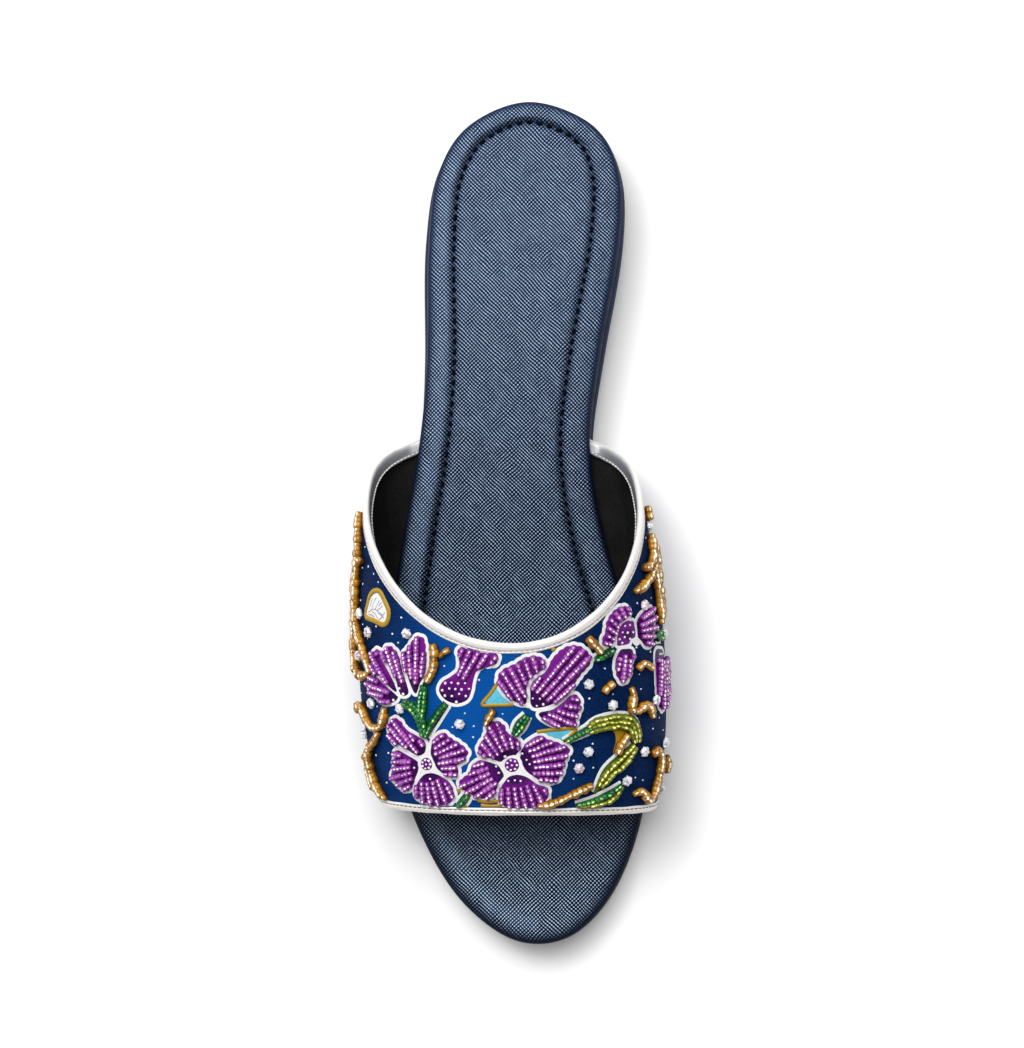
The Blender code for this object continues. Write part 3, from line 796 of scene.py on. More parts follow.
def make_piece(name, sheet, finish, smooth=True):
    """Make an object of a bmesh that rides on the shoe."""
    if not sheet.faces:
        raise RuntimeError("nothing was modelled for " + name)
    mesh = bpy.data.meshes.new(name)
    sheet.to_mesh(mesh)
    sheet.free()
    return place_piece(name, mesh, finish, smooth)


def turned_form(profile, sides):
    """Turn a profile of places along X and radii into a small form; give its corners and faces."""
    form = bmesh.new()
    corners = [form.verts.new((along, 0.0, radius)) for along, radius in profile]
    edges = [form.edges.new(pair) for pair in zip(corners, corners[1:])]
    bmesh.ops.spin(
        form,
        geom=[*corners, *edges],
        cent=(0, 0, 0),
        axis=(1, 0, 0),
        angle=2 * math.pi,
        steps=sides,
        use_merge=True,
    )
    bmesh.ops.remove_doubles(form, verts=form.verts, dist=1e-6)
    bmesh.ops.holes_fill(form, edges=[edge for edge in form.edges if edge.is_boundary], sides=0)
    bmesh.ops.recalc_face_normals(form, faces=form.faces)
    form.verts.index_update()
    places = np.array([vertex.co for vertex in form.verts])
    faces = [[vertex.index for vertex in face.verts] for face in form.faces]
    form.free()
    return places, faces


def repeat(name, form, middles, axes, finish, tones=None, smooth=True):
    """Join one copy of a small form for each middle and set of axes; its tone and crown are kept, and the
    crown places a bead's painted rim shade and highlight.
    """
    if len(middles) == 0:
        raise RuntimeError("nothing was placed for " + name)
    corners, faces = form
    points = np.einsum("vk,nkc->nvc", corners, axes) + middles[:, None]
    starts = np.arange(len(middles)) * len(corners)
    lists = [[corner + start for corner in face] for start in starts for face in faces]
    mesh = bpy.data.meshes.new(name)
    mesh.from_pydata(points.reshape(-1, 3), [], lists)
    if tones is not None:
        crown = np.clip(corners[:, 2] / corners[:, 2].max(), 0, 1)
        kept = {"tone": np.repeat(tones, len(corners)), "crown": np.tile(crown, len(middles))}
        for label, values in kept.items():
            layer = mesh.attributes.new(label, "FLOAT", "POINT")
            layer.data.foreach_set("value", values.astype(np.float32))
    mesh.update()
    return place_piece(name, mesh, finish, smooth)


# Navy sheet along Y: where it turns to its heel look, with hollows painted paler there as if better lit and
# the turned edge painted darker as shade towards the front, and where its ridges turn brighter towards the
# front, with clouds a metre and how far these shift that
HEEL_ZONE = (-0.04, 0.09)
FRONT_RIDGE_ZONE = (-0.12, 0.10)
FRONT_RIDGE_CLOUDS = 34.0
FRONT_RIDGE_WANDER = 0.06

# Its grain: lines cross, one way leads in each zone, and the ridges, painted pale as the gloss on them, vary
# in strength by patches and specks
GRAIN_TURN = math.radians(45)
GRAIN_WAVER = 3.4
GRAIN_DEPTH = 0.00013
ZONE_CLOUDS = 220.0
ZONE_STRETCH = (1.0, 0.7, 1.0)
ZONE_AT_HEEL = 0.12
ZONE_EDGE = (0.32, 0.68)
LEAST_WEIGHT = 0.36
LEADING_WEIGHT = 0.40
BOTH_WEIGHTS = 1.06
RIDGE_FOOT = 0.55
RIDGE_FOOT_AT_HEEL = -0.07
RIDGE_TOP = 0.98
SPECK_CLOUDS = 1000.0
SPECK_EDGE = (0.60, 0.74)
SPECK_SHARE = 0.45
PATCH_CLOUDS = 500.0
PATCH_SHARE = 0.8
PATCH_BASE = 0.42
# How the edge value gives the painted sheen on the lateral rim, the painted shade darkening the turned edge
# towards the front, and the ridges' brightening towards the front
PAINTED_SHEEN_SHARE = -1.6
FRONT_EDGE_SHADE = 0.6
BALL_RIDGE_TONE = 1.14


def grained_sheet(name, sizes, colours, laid):
    """Navy sheet embossed with crossed lines: ridges painted pale as their gloss, hollows painted paler as
    light at the heel and as a sheen on the lateral rim, and the sheet smooth and painted dark as shade where
    turned and in the quilting groove.
    """
    finish = Finish(name, {"Roughness": 0.62, "Specular IOR Level": 0.04})
    place = finish.laid_place() if laid else finish.object_place()
    falling = finish.lines(place, sizes.grain_pitch, -GRAIN_TURN, GRAIN_WAVER)
    rising = finish.lines(place, sizes.grain_pitch, GRAIN_TURN, GRAIN_WAVER)
    long_place = finish.add("Mapping", {"Vector": place, "Scale": ZONE_STRETCH}).outputs["Vector"]
    back = finish.add("SeparateXYZ", {0: finish.object_place()}).outputs[1]
    heel = finish.between(back, *HEEL_ZONE)
    zone = finish.math("MULTIPLY_ADD", heel, ZONE_AT_HEEL, finish.noise(long_place, ZONE_CLOUDS))
    lead = finish.between(zone, *ZONE_EDGE)
    falling_weight = finish.math("MULTIPLY_ADD", lead, LEADING_WEIGHT, LEAST_WEIGHT)
    rising_weight = finish.math("SUBTRACT", BOTH_WEIGHTS, falling_weight)
    falling_part = finish.math("MULTIPLY", falling, falling_weight)
    crossed = finish.math("MULTIPLY_ADD", rising, rising_weight, falling_part)
    foot_of_ridge = finish.math("MULTIPLY_ADD", heel, RIDGE_FOOT_AT_HEEL, RIDGE_FOOT)
    ridge = finish.between(crossed, foot_of_ridge, RIDGE_TOP)
    edge = finish.kept("edge")
    inside = finish.math("SUBTRACT", 1.0, edge)
    speck = finish.between(finish.noise(place, SPECK_CLOUDS, 1.0), *SPECK_EDGE)
    patch = finish.noise(place, PATCH_CLOUDS, 3.0)
    strength = finish.math("MULTIPLY_ADD", patch, PATCH_SHARE, PATCH_BASE)
    strength = finish.math("MULTIPLY_ADD", speck, SPECK_SHARE, strength)
    shown = finish.math("MULTIPLY", finish.math("MULTIPLY", ridge, strength), inside)
    # Hollows painted paler at the heel, as if better lit
    hollow = finish.blend(heel, linear(colours.grain_valley), linear(colours.lit_heel_valley))
    # Painted sheen: the lateral rim's hollows paler, as if lit from the left
    painted_sheen = finish.math("MULTIPLY", edge, PAINTED_SHEEN_SHARE)
    hollow = finish.blend(painted_sheen, hollow, linear(colours.sheen_rim_valley))
    # Ridges brighter towards the front, in a clouded band
    cloud = finish.math("MULTIPLY_ADD", finish.noise(place, FRONT_RIDGE_CLOUDS, 3.0), FRONT_RIDGE_WANDER, back)
    toward_heel = finish.between(cloud, *FRONT_RIDGE_ZONE)
    # Painted shade: the turned edge darker towards the front
    turned = finish.blend(heel, toned(colours.shaded_sheet_edge, FRONT_EDGE_SHADE), linear(colours.shaded_sheet_edge))
    valley = finish.blend(edge, hollow, turned)
    # Ridges painted pale as their gloss
    ridge_gloss_tone = finish.blend(toward_heel, toned(colours.glossy_grain_ridge, BALL_RIDGE_TONE), linear(colours.glossy_grain_ridge))
    finish.colour(finish.blend(shown, valley, ridge_gloss_tone))
    finish.relief(finish.math("MULTIPLY", ridge, inside), GRAIN_DEPTH)
    return finish


CLOUD_SIZE = 12
CLOUD_EDGE = (0.3, 0.7)


def plain_finish(name, colour, sockets, scale, depth, spread):
    """A colour that varies by a spread over a fine rough surface with a number of grains a metre."""
    finish = Finish(name, sockets)
    place = finish.object_place()
    grain = finish.noise(place, scale, 4.0)
    cloud = finish.noise(place, scale / CLOUD_SIZE)
    share = finish.math("MULTIPLY_ADD", cloud, 0.5, finish.math("MULTIPLY", grain, 0.5))
    finish.colour(finish.blend(
        finish.between(share, *CLOUD_EDGE), toned(colour, 1 - spread), toned(colour, 1 + spread)))
    finish.relief(grain, depth)
    return finish


class SoleRing:
    """The sole's outline as one closed ring, with the ways inward and its middle line."""

    MIDDLE_START = 0.026
    MIDDLE_END = 0.226

    def __init__(self):
        rows = OUTLINE_ROWS
        back = rows[-2::-1]
        self.station = np.concatenate([rows[:, 0], back[:, 0]])
        self.side = np.concatenate([np.full(len(rows), LATERAL), np.full(len(back), MEDIAL)])
        edge_x = np.concatenate([rows[:, 1], back[:, 2]])
        self.edge = np.stack([edge_x, HEEL_Y - self.station], -1)
        middle_station = np.clip(self.station, self.MIDDLE_START, self.MIDDLE_END)
        middle_x = (outline_edge(middle_station, LATERAL) + outline_edge(middle_station, MEDIAL)) / 2
        self.middle = np.stack([middle_x, HEEL_Y - middle_station], -1)
        loop = self.edge[:-1]
        run = unit(np.roll(loop, -1, axis=0) - np.roll(loop, 1, axis=0))
        inward = np.stack([-run[:, 1], run[:, 0]], -1)
        self.inward = np.concatenate([inward, inward[:1]])

    def row(self, inset, height, toward_middle=0.0):
        """Give the ring drawn in by an inset and towards the middle line, at heights over its stations."""
        plan = self.edge + self.inward * np.broadcast_to(inset, self.station.shape)[:, None]
        plan = plan + (self.middle - plan) * toward_middle
        station = HEEL_Y - plan[:, 1]
        return np.column_stack([plan, height(station)])


RING = SoleRing()


def quilting_inset():
    """Give the quilting line's distance from the outline round the ring."""
    table = np.array(QUILTING)
    lateral = np.interp(RING.station, table[:, 0], table[:, 1])
    medial = np.interp(RING.station, table[:, 0], table[:, 2])
    return np.where(RING.side == LATERAL, lateral, medial)


# Footbed's section: its rolled rim, its low crown, and the insets of the rings of its underside
ROLL_RUN = 0.0046
ROLL_RISE = 0.0036
ROLL_UNDER = 0.0020
ROLL_STEPS = 9
UNDER_ROLL_STEPS = 6
RIM_CREST = 0.0007
RIM_PLACE = 0.70
RIM_WIDTH = 0.0022
PANEL_CROWN = 0.0005
CROWN_RUN = 0.008
CORE_INSET = 0.0115
RIM_INSET = 0.0092
MARGIN_INSET = 0.0040

# Rings either side of the quilting line, in mm, and how they step where the roll leaves them no room
QUILTING_OFFSETS = (-2.4, -1.6, -1.0, -0.6, -0.3, 0.0, 0.3, 0.6, 1.0, 1.6, 2.4, 3.4)
CROWDED_START = 3.0
CROWDED_STEP = 0.05
PANEL_SHARES = (0.3, 0.65, 1.0)
PANEL_REACH = 0.02

# Insets that tell the finish of the underside and of the sheet that is rolled under
UNDERSIDE = 0.012
ROLLED = -1.0

# Where the sheet is smooth and painted dark as shade, round its turned edge and in the quilting groove, and
# the painted sheen on the lateral rim
TURNED_START = 0.0004
TURNED_WIDTH = 0.0021
TURNED_MORE = 0.0026
TURNED_MORE_START = 0.200
TURNED_RUN = 0.030
GROOVE_SHADE_SHARE = 0.8
GROOVE_SHADE_WIDTH = 0.0009
RIM_SHEEN = 0.30
SHEEN_PLACE = 0.6
SHEEN_WIDTH = 0.0024
SHEEN_RUN = 0.030


def bell(distance, width):
    """Give 1 at no distance, falling smoothly to 0 some widths away."""
    return np.exp(-((distance / width) ** 2))


def quilted():
    """Give how far the quilting line is drawn in round the ring; it fades out under the vamp."""
    return 1 - ease((RING.station - QUILTING_END) / QUILTING_FADE)


def footbed_top(inset):
    """Give the footbed's height over its underside for insets round the ring."""
    line = quilting_inset()
    share = np.clip(1 - inset / ROLL_RUN, 0, 1)
    roll = ROLL_RISE * (np.sqrt(np.clip(1 - share**2, 0, 1)) - 1)
    pinch = 1 + BALL_PINCH * ease((RING.station - BALL_PINCH_START) / BALL_PINCH_RUN)
    groove = GROOVE_DEPTH * pinch * quilted() * bell(inset - line, GROOVE_WIDTH)
    rim = RIM_CREST * bell(inset - RIM_PLACE * line, RIM_WIDTH)
    crown = PANEL_CROWN * ease((inset - line) / CROWN_RUN)
    return INSOLE_THICKNESS + roll - groove + rim + crown


def over_seat(height):
    """Give the rule for a height over the footbed's underside."""
    return lambda station: seat_height(station) + height


def footbed_points():
    """Give the padded footbed as rings from the middle of its underside to the middle of its top."""
    line = quilting_inset()
    even = np.ones_like(line)
    side_height = INSOLE_THICKNESS - ROLL_RISE

    def under_rim(station):
        return seat_height(station) + rim_lift(station) + SKIN_GAP

    rows = [
        RING.row(CORE_INSET, over_seat(SKIN_GAP), 1.0),
        RING.row(CORE_INSET, over_seat(SKIN_GAP)),
        RING.row(RIM_INSET, under_rim),
        RING.row(MARGIN_INSET, under_rim),
    ]
    insets = [even * inset for inset in (UNDERSIDE, UNDERSIDE, RIM_INSET, MARGIN_INSET)]
    for angle in np.linspace(-90, 0, UNDER_ROLL_STEPS)[:-1]:
        out = math.cos(math.radians(angle))
        down = -math.sin(math.radians(angle))

        def roll_height(station, down=down):
            bottom = rim_lift(station) + SKIN_GAP
            return seat_height(station) + side_height - (side_height - bottom) * down

        rows.append(RING.row(ROLL_UNDER * (1 - out), roll_height))
        insets.append(even * ROLLED)
    roll_angles = np.linspace(0, math.pi / 2, ROLL_STEPS)
    tops = [even * (ROLL_RUN * (1 - math.cos(angle))) for angle in roll_angles]
    for offset in QUILTING_OFFSETS:
        crowded = ROLL_RUN + (offset + CROWDED_START) * CROWDED_STEP * MM
        tops.append(np.maximum(line + offset * MM, crowded))
    rows += [RING.row(inset, over_seat(footbed_top(inset))) for inset in tops]
    panel = over_seat(INSOLE_THICKNESS + PANEL_CROWN)
    rows += [RING.row(tops[-1], panel, share) for share in PANEL_SHARES]
    insets += tops
    insets += [tops[-1] + share * PANEL_REACH for share in PANEL_SHARES]
    return np.array(rows), np.array(insets)


def footbed_smooth_and_shade(insets):
    """Tell how smooth and how darkened by painted shade the sheet is: turned round the edge and drawn into
    the quilting line, less the painted sheen on the lateral rim.
    """
    line = quilting_inset()
    turned_width = TURNED_WIDTH + TURNED_MORE * ease((RING.station - TURNED_MORE_START) / TURNED_RUN)
    turned = 1 - ease((insets - TURNED_START) / turned_width)
    drawn = GROOVE_SHADE_SHARE * quilted() * bell(insets - line, GROOVE_SHADE_WIDTH)
    outer = ease(RING.station / SHEEN_RUN) * (RING.side == LATERAL)
    painted_sheen = RIM_SHEEN * outer * bell(insets - SHEEN_PLACE * line, SHEEN_WIDTH)
    return np.maximum(turned, drawn) - painted_sheen


class SLIDE_OT_footbed(Operator):
    """Padded footbed with a rolled rim and a quilted panel, wrapped in grained navy sheet"""

    bl_idname = "slide.footbed"
    bl_label = "Footbed"

    def execute(self, context):
        scene = context.scene
        finish = grained_sheet("navy_grained_sheet", scene.slide_sizes, scene.slide_colours, False)
        points, insets = footbed_points()
        edge = footbed_smooth_and_shade(insets)
        piece = make_piece("footbed", skin(points, {"edge": edge}), finish)
        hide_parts("insole")
        return {"FINISHED"}


def stitch_form():
    """A short thread with rounded ends, one long and one across."""
    profile = ((-0.5, 0.16), (-0.44, 0.34), (-0.25, 0.5), (0.25, 0.5), (0.44, 0.34), (0.5, 0.16))
    return turned_form(profile, 6)


def paced(points, pitch):
    """Give places a pitch apart along a line of points, with the way of the line there."""
    distance = run_length(points)
    count = max(1, int(distance[-1] / pitch))
    wanted = (np.arange(count) + 0.5) * distance[-1] / count

    def at(distances):
        return np.stack([np.interp(distances, distance, column) for column in points.T], -1)

    return at(wanted), unit(at(wanted + pitch / 3) - at(wanted - pitch / 3))


def stitch_axes(way, up, length, width, height):
    """Give the scaled axes of threads that lie along a way."""
    across = unit(np.cross(up, way))
    raised = np.cross(way, across)
    return np.stack([way * length, across * width, raised * height], 1)


class SLIDE_OT_quilting(Operator):
    """Stitches sunk in the footbed's quilting line"""

    bl_idname = "slide.quilting"
    bl_label = "Quilting stitches"

    STITCH_STRAY = (0.05, 0.05, 0.015)
    LENGTH_RANGE = (0.9, 1.06)
    FLATNESS = 0.8
    STITCH_LIFT = 0.00025

    def execute(self, context):
        sizes = context.scene.slide_sizes
        line = quilting_inset()
        ring = RING.row(line, over_seat(footbed_top(line)))
        seen = RING.station[:-1] < QUILTING_END
        start = int(np.argmin(seen))
        order = np.roll(np.arange(len(ring) - 1), -start)
        open_line = ring[[index for index in order if seen[index]]]
        places, way = paced(open_line, sizes.stitch_pitch)
        rng = np.random.default_rng(SEED)
        count = len(places)
        way = unit(way + rng.normal(0, 1, (count, 3)) * self.STITCH_STRAY)
        up = np.tile((0.0, 0.0, 1.0), (count, 1))
        length = sizes.stitch_length * rng.uniform(*self.LENGTH_RANGE, (count, 1))
        axes = stitch_axes(way, up, length, sizes.stitch_width, sizes.stitch_width * self.FLATNESS)
        places[:, 2] += self.STITCH_LIFT
        # The thread's near-black colour also paints the shade of the stitch holes
        sockets = {"Roughness": 0.9, "Specular IOR Level": 0.1}
        colour = context.scene.slide_colours.thread
        finish = plain_finish("quilting_thread", colour, sockets, scale=4000.0, depth=0.00005, spread=0.4)
        repeat("quilting_stitches", stitch_form(), places, axes, finish)
        return {"FINISHED"}


class SLIDE_OT_wedge(Operator):
    """Low wedge covered in grained navy sheet, its grain faint and painted dark as shade, with the cut edge
    of its board showing on top
    """

    bl_idname = "slide.wedge"
    bl_label = "Covered wedge"

    # Wall from floor to top: share of its height, and share of the flare by which it stands out there
    WALL_CURVE = (
        (0.00, 0.55), (0.10, 0.75), (0.30, 0.95), (0.50, 1.00), (0.70, 0.95), (0.85, 0.80), (0.95, 0.55),
        (1.00, 0.25))
    WALL_INSET = 0.0004
    LAY_ROW = 5
    # How far the cover's grain is smoothed and painted dark as shade, since its sides stand in shade
    COVER_SMOOTH_AND_SHADE = 0.90
    # Section of the board's cut edge: out and up
    BOARD_SECTION = (
        (-0.0002, -0.0005), (0.0002, -0.0004), (0.0004, 0.0), (0.0002, 0.0004), (-0.0006, 0.0005))
    BOARD_FLARE = 0.25
    BOARD_TILT = 0.6

    def execute(self, context):
        colours = context.scene.slide_colours
        lateral = [i for i in range(len(OUTLINE_ROWS)) if OUTLINE_ROWS[i, 0] <= WEDGE_END]
        medial = [len(RING.station) - 1 - i for i in lateral]
        picked = lateral[::-1] + medial[1:]
        flares = {side: wedge_flare(RING.station, side) for side in (LATERAL, MEDIAL)}
        flare = np.where(RING.side == LATERAL, flares[LATERAL], flares[MEDIAL])

        def wall_height(share):
            def height(station):
                bottom = tread_height(station) + OUTSOLE_THICKNESS + SKIN_GAP
                return bottom + (seat_height(station) - bottom - SKIN_GAP) * share

            return height

        rows = [RING.row(0.0, wall_height(0.0), 1.0)]
        for share, out in self.WALL_CURVE:
            rows.append(RING.row(self.WALL_INSET - flare * out, wall_height(share)))
        rows.append(RING.row(0.0, wall_height(1.0), 1.0))
        rows = np.array(rows)[:, picked]
        ends = rows[:, [0, -1]].mean(axis=1, keepdims=True)
        points = np.concatenate([ends, rows, ends], axis=1)
        around = run_length(points[self.LAY_ROW])
        lay = np.stack([np.broadcast_to(around, points.shape[:2]), points[..., 2]], -1)
        finish = grained_sheet("navy_wedge_sheet", context.scene.slide_sizes, colours, True)
        edge = np.full(points.shape[:2], self.COVER_SMOOTH_AND_SHADE)
        edge[[0, 1, -2, -1]] = 1.0
        piece = make_piece("wedge_cover", skin(points, {"edge": edge}, lay), finish)
        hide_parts("covered_wedge")
        sockets = {"Roughness": 0.8}
        board = plain_finish(
            "cut_board_edge", colours.board_edge, sockets, scale=2500.0, depth=0.00006, spread=0.25)
        lip = self.WALL_INSET - flare * self.BOARD_FLARE
        strips = np.array([RING.row(lip - out, over_seat(up))[picked] for out, up in self.BOARD_SECTION])
        tilt = np.full(len(RING.station), self.BOARD_TILT)
        outward = np.broadcast_to(np.column_stack([-RING.inward, tilt])[picked], strips.shape)
        make_piece("wedge_board_edge", skin(strips, outward=outward), board)
        return {"FINISHED"}


class SLIDE_OT_outsole(Operator):
    """Thin rubber outsole with a rounded edge and a ribbed underside"""

    bl_idname = "slide.outsole"
    bl_label = "Outsole"

    # Edge from the tread to the top: inset and height
    EDGE_SECTION = (
        (0.0030, 0.0006), (0.0022, 0.0), (0.0004, 0.0), (-0.0002, 0.0003), (-0.0005, 0.0009),
        (-0.0005, 0.0020), (-0.0003, 0.0026), (0.0003, 0.0029))
    MIDDLE_INSET = 0.0030
    TOP_HEIGHT = 0.0029
    RIB_STATIONS = (*np.arange(0.012, 0.056, 0.0044), *np.arange(0.146, 0.206, 0.0044))
    RIB_HEIGHT = 0.0006
    RIB_WIDTH = 0.0022
    RIB_SINK = 0.0003
    RIB_ROUND = 0.0003
    RIB_INSET = 0.0040

    def execute(self, context):
        def level(lift):
            return lambda station: tread_height(station) + lift

        rows = [RING.row(self.MIDDLE_INSET, level(self.RIB_HEIGHT), 1.0)]
        rows += [RING.row(inset, level(lift)) for inset, lift in self.EDGE_SECTION]
        rows.append(RING.row(self.MIDDLE_INSET, level(self.TOP_HEIGHT), 1.0))
        rubber = context.scene.slide_colours.rubber
        finish = plain_finish(
            "brown_rubber", rubber, {"Roughness": 0.62}, scale=900.0, depth=0.00008, spread=0.22)
        piece = make_piece("outsole_rubber", skin(np.array(rows)), finish)
        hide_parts("outsole")
        ribs = bmesh.new()
        thickness = self.RIB_HEIGHT + self.RIB_SINK
        for station in self.RIB_STATIONS:
            left = outline_edge(station, LATERAL) + self.RIB_INSET
            right = outline_edge(station, MEDIAL) - self.RIB_INSET
            size = Matrix.Diagonal((right - left, self.RIB_WIDTH, thickness, 1.0))
            middle = ((left + right) / 2, HEEL_Y - station, tread_height(station) + thickness / 2)
            bmesh.ops.create_cube(ribs, size=1.0, matrix=Matrix.Translation(middle) @ size)
        bmesh.ops.bevel(
            ribs,
            geom=ribs.edges[:],
            offset=self.RIB_ROUND,
            affect="EDGES",
            segments=2,
            profile=0.5,
            material=-1,
        )
        make_piece("outsole_ribs", ribs, finish)
        return {"FINISHED"}


# Soft troughs and ridges of the vamp, in mm: across, station, direction in degrees, length, width, depth
Crease = namedtuple("Crease", "across station direction length width depth")
CREASES = (
    Crease(-58.0, 132.0, 62.0, 14.0, 3.2, 0.28),
    Crease(-50.0, 142.0, 48.0, 12.0, 3.0, -0.16),
    Crease(-64.0, 160.0, 80.0, 16.0, 4.0, 0.22),
    Crease(57.0, 130.0, -60.0, 14.0, 3.2, 0.26),
    Crease(49.0, 141.0, -46.0, 12.0, 3.0, -0.16),
    Crease(62.0, 168.0, -82.0, 16.0, 4.0, 0.20),
    Crease(-8.0, 170.0, 8.0, 26.0, 6.0, 0.14),
    Crease(14.0, 186.0, -10.0, 24.0, 6.0, 0.14),
    Crease(-34.0, 192.0, 30.0, 18.0, 5.0, 0.12),
)
VAMP_COLUMNS = 181
VAMP_ROWS = 61
VAMP_START = 0.75


def crease_depth(across, station):
    """Give how deep the creases press the vamp in at charted places in millimetres."""
    depth = np.zeros(np.broadcast(across, station).shape)
    for crease in CREASES:
        angle = math.radians(crease.direction)
        right = across - crease.across
        back = crease.station - station
        along = right * math.cos(angle) + back * math.sin(angle)
        aside = back * math.cos(angle) - right * math.sin(angle)
        depth += crease.depth * np.exp(-((along / crease.length) ** 2) - (aside / crease.width) ** 2)
    return depth


def vamp_grid():
    """Give the lasted cloth's points and outward ways, and their layout as charted places."""
    side, turn = crossed_turns(VAMP_COLUMNS, VAMP_START)
    back = edge_station(THROAT_LINE, side, turn)
    front = edge_station(FRONT_LINE, side, turn)
    share = np.linspace(0.0, 1.0, VAMP_ROWS)[:, None]
    station = back + (front - back) * share
    points = vamp_line(np.broadcast_to(side, station.shape), np.broadcast_to(turn, station.shape), station)
    normal = unit(np.cross(np.gradient(points, axis=0), np.gradient(points, axis=1)))
    steps = np.linalg.norm(np.diff(points, axis=1), axis=2)
    across = np.concatenate([np.zeros((VAMP_ROWS, 1)), np.cumsum(steps, axis=1)], axis=1)
    across -= across[:, VAMP_COLUMNS // 2][:, None]
    return points, normal, np.stack([across, station], -1)


# Dye of the cloth: its bright middle in the chart, how much less distances along the shoe count, its clouds,
# the edges of its tones, the weave, and the pale flecks
DYE_ACROSS = -0.012
DYE_STATION = 0.176
DYE_SQUEEZE = 0.62
DYE_CLOUDS = 46.0
DYE_WANDER = 0.030
BRIGHT_EDGE = (0.006, 0.024)
DEEP_EDGE = (0.020, 0.040)
WEAVE_PITCH = 0.00042
WEAVE_WAVER = 0.4
WEAVE_DEPTH = 0.00005
WEAVE_SHARE = 0.22
FLECK_CLOUDS = 1500.0
FLECK_EDGE = (0.30, 0.75)
FLECK_SHARE = 0.16


def dyed_cloth(colours):
    """Blue cloth dyed by hand: bright over the middle, deep navy at the sides, clouded, finely woven."""
    finish = Finish("dyed_blue_cloth", {"Roughness": 0.7, "Specular IOR Level": 0.05})
    place = finish.object_place()
    lay = finish.laid_place()
    parts = finish.add("SeparateXYZ", {0: lay})
    aside = finish.math("SUBTRACT", parts.outputs[0], DYE_ACROSS)
    ahead = finish.math("MULTIPLY", finish.math("SUBTRACT", parts.outputs[1], DYE_STATION), DYE_SQUEEZE)
    square = finish.math("MULTIPLY_ADD", aside, aside, finish.math("MULTIPLY", ahead, ahead))
    away = finish.math("SQRT", square)
    cloud = finish.math("SUBTRACT", finish.noise(place, DYE_CLOUDS, 4.0), 0.5)
    away = finish.math("MULTIPLY_ADD", cloud, DYE_WANDER, away)
    near = finish.blend(finish.between(away, *BRIGHT_EDGE), linear(colours.cobalt), linear(colours.mid_blue))
    tone = finish.blend(finish.between(away, *DEEP_EDGE), near, linear(colours.navy))
    fleck = finish.between(finish.noise(place, FLECK_CLOUDS, 3.0), *FLECK_EDGE)
    warp = finish.lines(lay, WEAVE_PITCH, 0.0, WEAVE_WAVER)
    weft = finish.lines(lay, WEAVE_PITCH, math.pi / 2, WEAVE_WAVER)
    woven = finish.math("MULTIPLY", warp, weft)
    thread = finish.math("MULTIPLY_ADD", woven, WEAVE_SHARE, finish.math("MULTIPLY", fleck, FLECK_SHARE))
    finish.colour(finish.blend(thread, tone, linear(colours.cobalt)))
    finish.relief(finish.math("ADD", warp, weft), WEAVE_DEPTH)
    return finish


class SLIDE_OT_vamp(Operator):
    """Vamp of dyed cloth over a black lining, lasted over the foot"""

    bl_idname = "slide.vamp"
    bl_label = "Vamp cloth and lining"

    LINING_DEPTH = 0.0010
    LINING_FOLD = 0.0014
    LINING_HELD = 0.16
    # Folds of the lining: radians of the two waves for a millimetre across and along
    SHARP_FOLDS = (0.34, 0.03)
    SHARPNESS = 0.6
    BROAD_FOLDS = (0.17, -0.09)
    BROAD_SHARE = 0.4
    FOLD_BASE = 0.4
    FOLD_RANGE = 1.8

    def execute(self, context):
        colours = context.scene.slide_colours
        points, normal, lay = vamp_grid()
        chart = lay / MM
        pressed = crease_depth(chart[..., 0], chart[..., 1]) * MM
        cloth = points - normal * pressed[..., None]
        piece = make_piece("vamp_cloth", skin(cloth, lay=lay, outward=normal), dyed_cloth(colours))
        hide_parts("upper")
        sharp = np.abs(np.sin(chart @ self.SHARP_FOLDS)) ** self.SHARPNESS
        folds = sharp + self.BROAD_SHARE * np.sin(chart @ self.BROAD_FOLDS)
        row = np.linspace(0.0, 1.0, VAMP_ROWS)[:, None]
        loose = ease(row / self.LINING_HELD) * ease((1 - row) / self.LINING_HELD)
        depth = self.LINING_DEPTH + self.LINING_FOLD * loose * (self.FOLD_BASE + folds) / self.FOLD_RANGE
        inside = points - normal * depth[..., None]
        finish = plain_finish(
            "black_lining_cloth", colours.lining, {"Roughness": 0.95, "Specular IOR Level": 0.1},
            scale=1400.0, depth=0.00012, spread=0.3)
        make_piece("vamp_lining", skin(inside, outward=-normal), finish)
        return {"FINISHED"}


STATION_NUDGE = 0.0002


def binding_frame(line, away, start):
    """Give points along an edge of the vamp with the ways along it, off it and outward."""
    side, turn = crossed_turns(BINDING_POINTS, start)
    station = edge_station(line, side, turn)
    place = vamp_line(side, turn, station)
    run = unit(np.gradient(place, axis=0))
    ahead = unit(
        vamp_line(side, turn, station + STATION_NUDGE) - vamp_line(side, turn, station - STATION_NUDGE))
    normal = unit(np.cross(ahead, run))
    off = unit(np.cross(run, normal))
    off *= np.sign(np.sum(off * ahead, axis=1) * away)[:, None]
    return place, run, off, normal


# Section of a binding: the seam's place and half width, small tucks, and the fold's points in degrees
STITCH_INSET = 0.00075
SEAM_HALF = 0.00022
TUCK = 0.0002
FOLD_TURNS = (72, 48, 24, 0, -24, -48, -72)

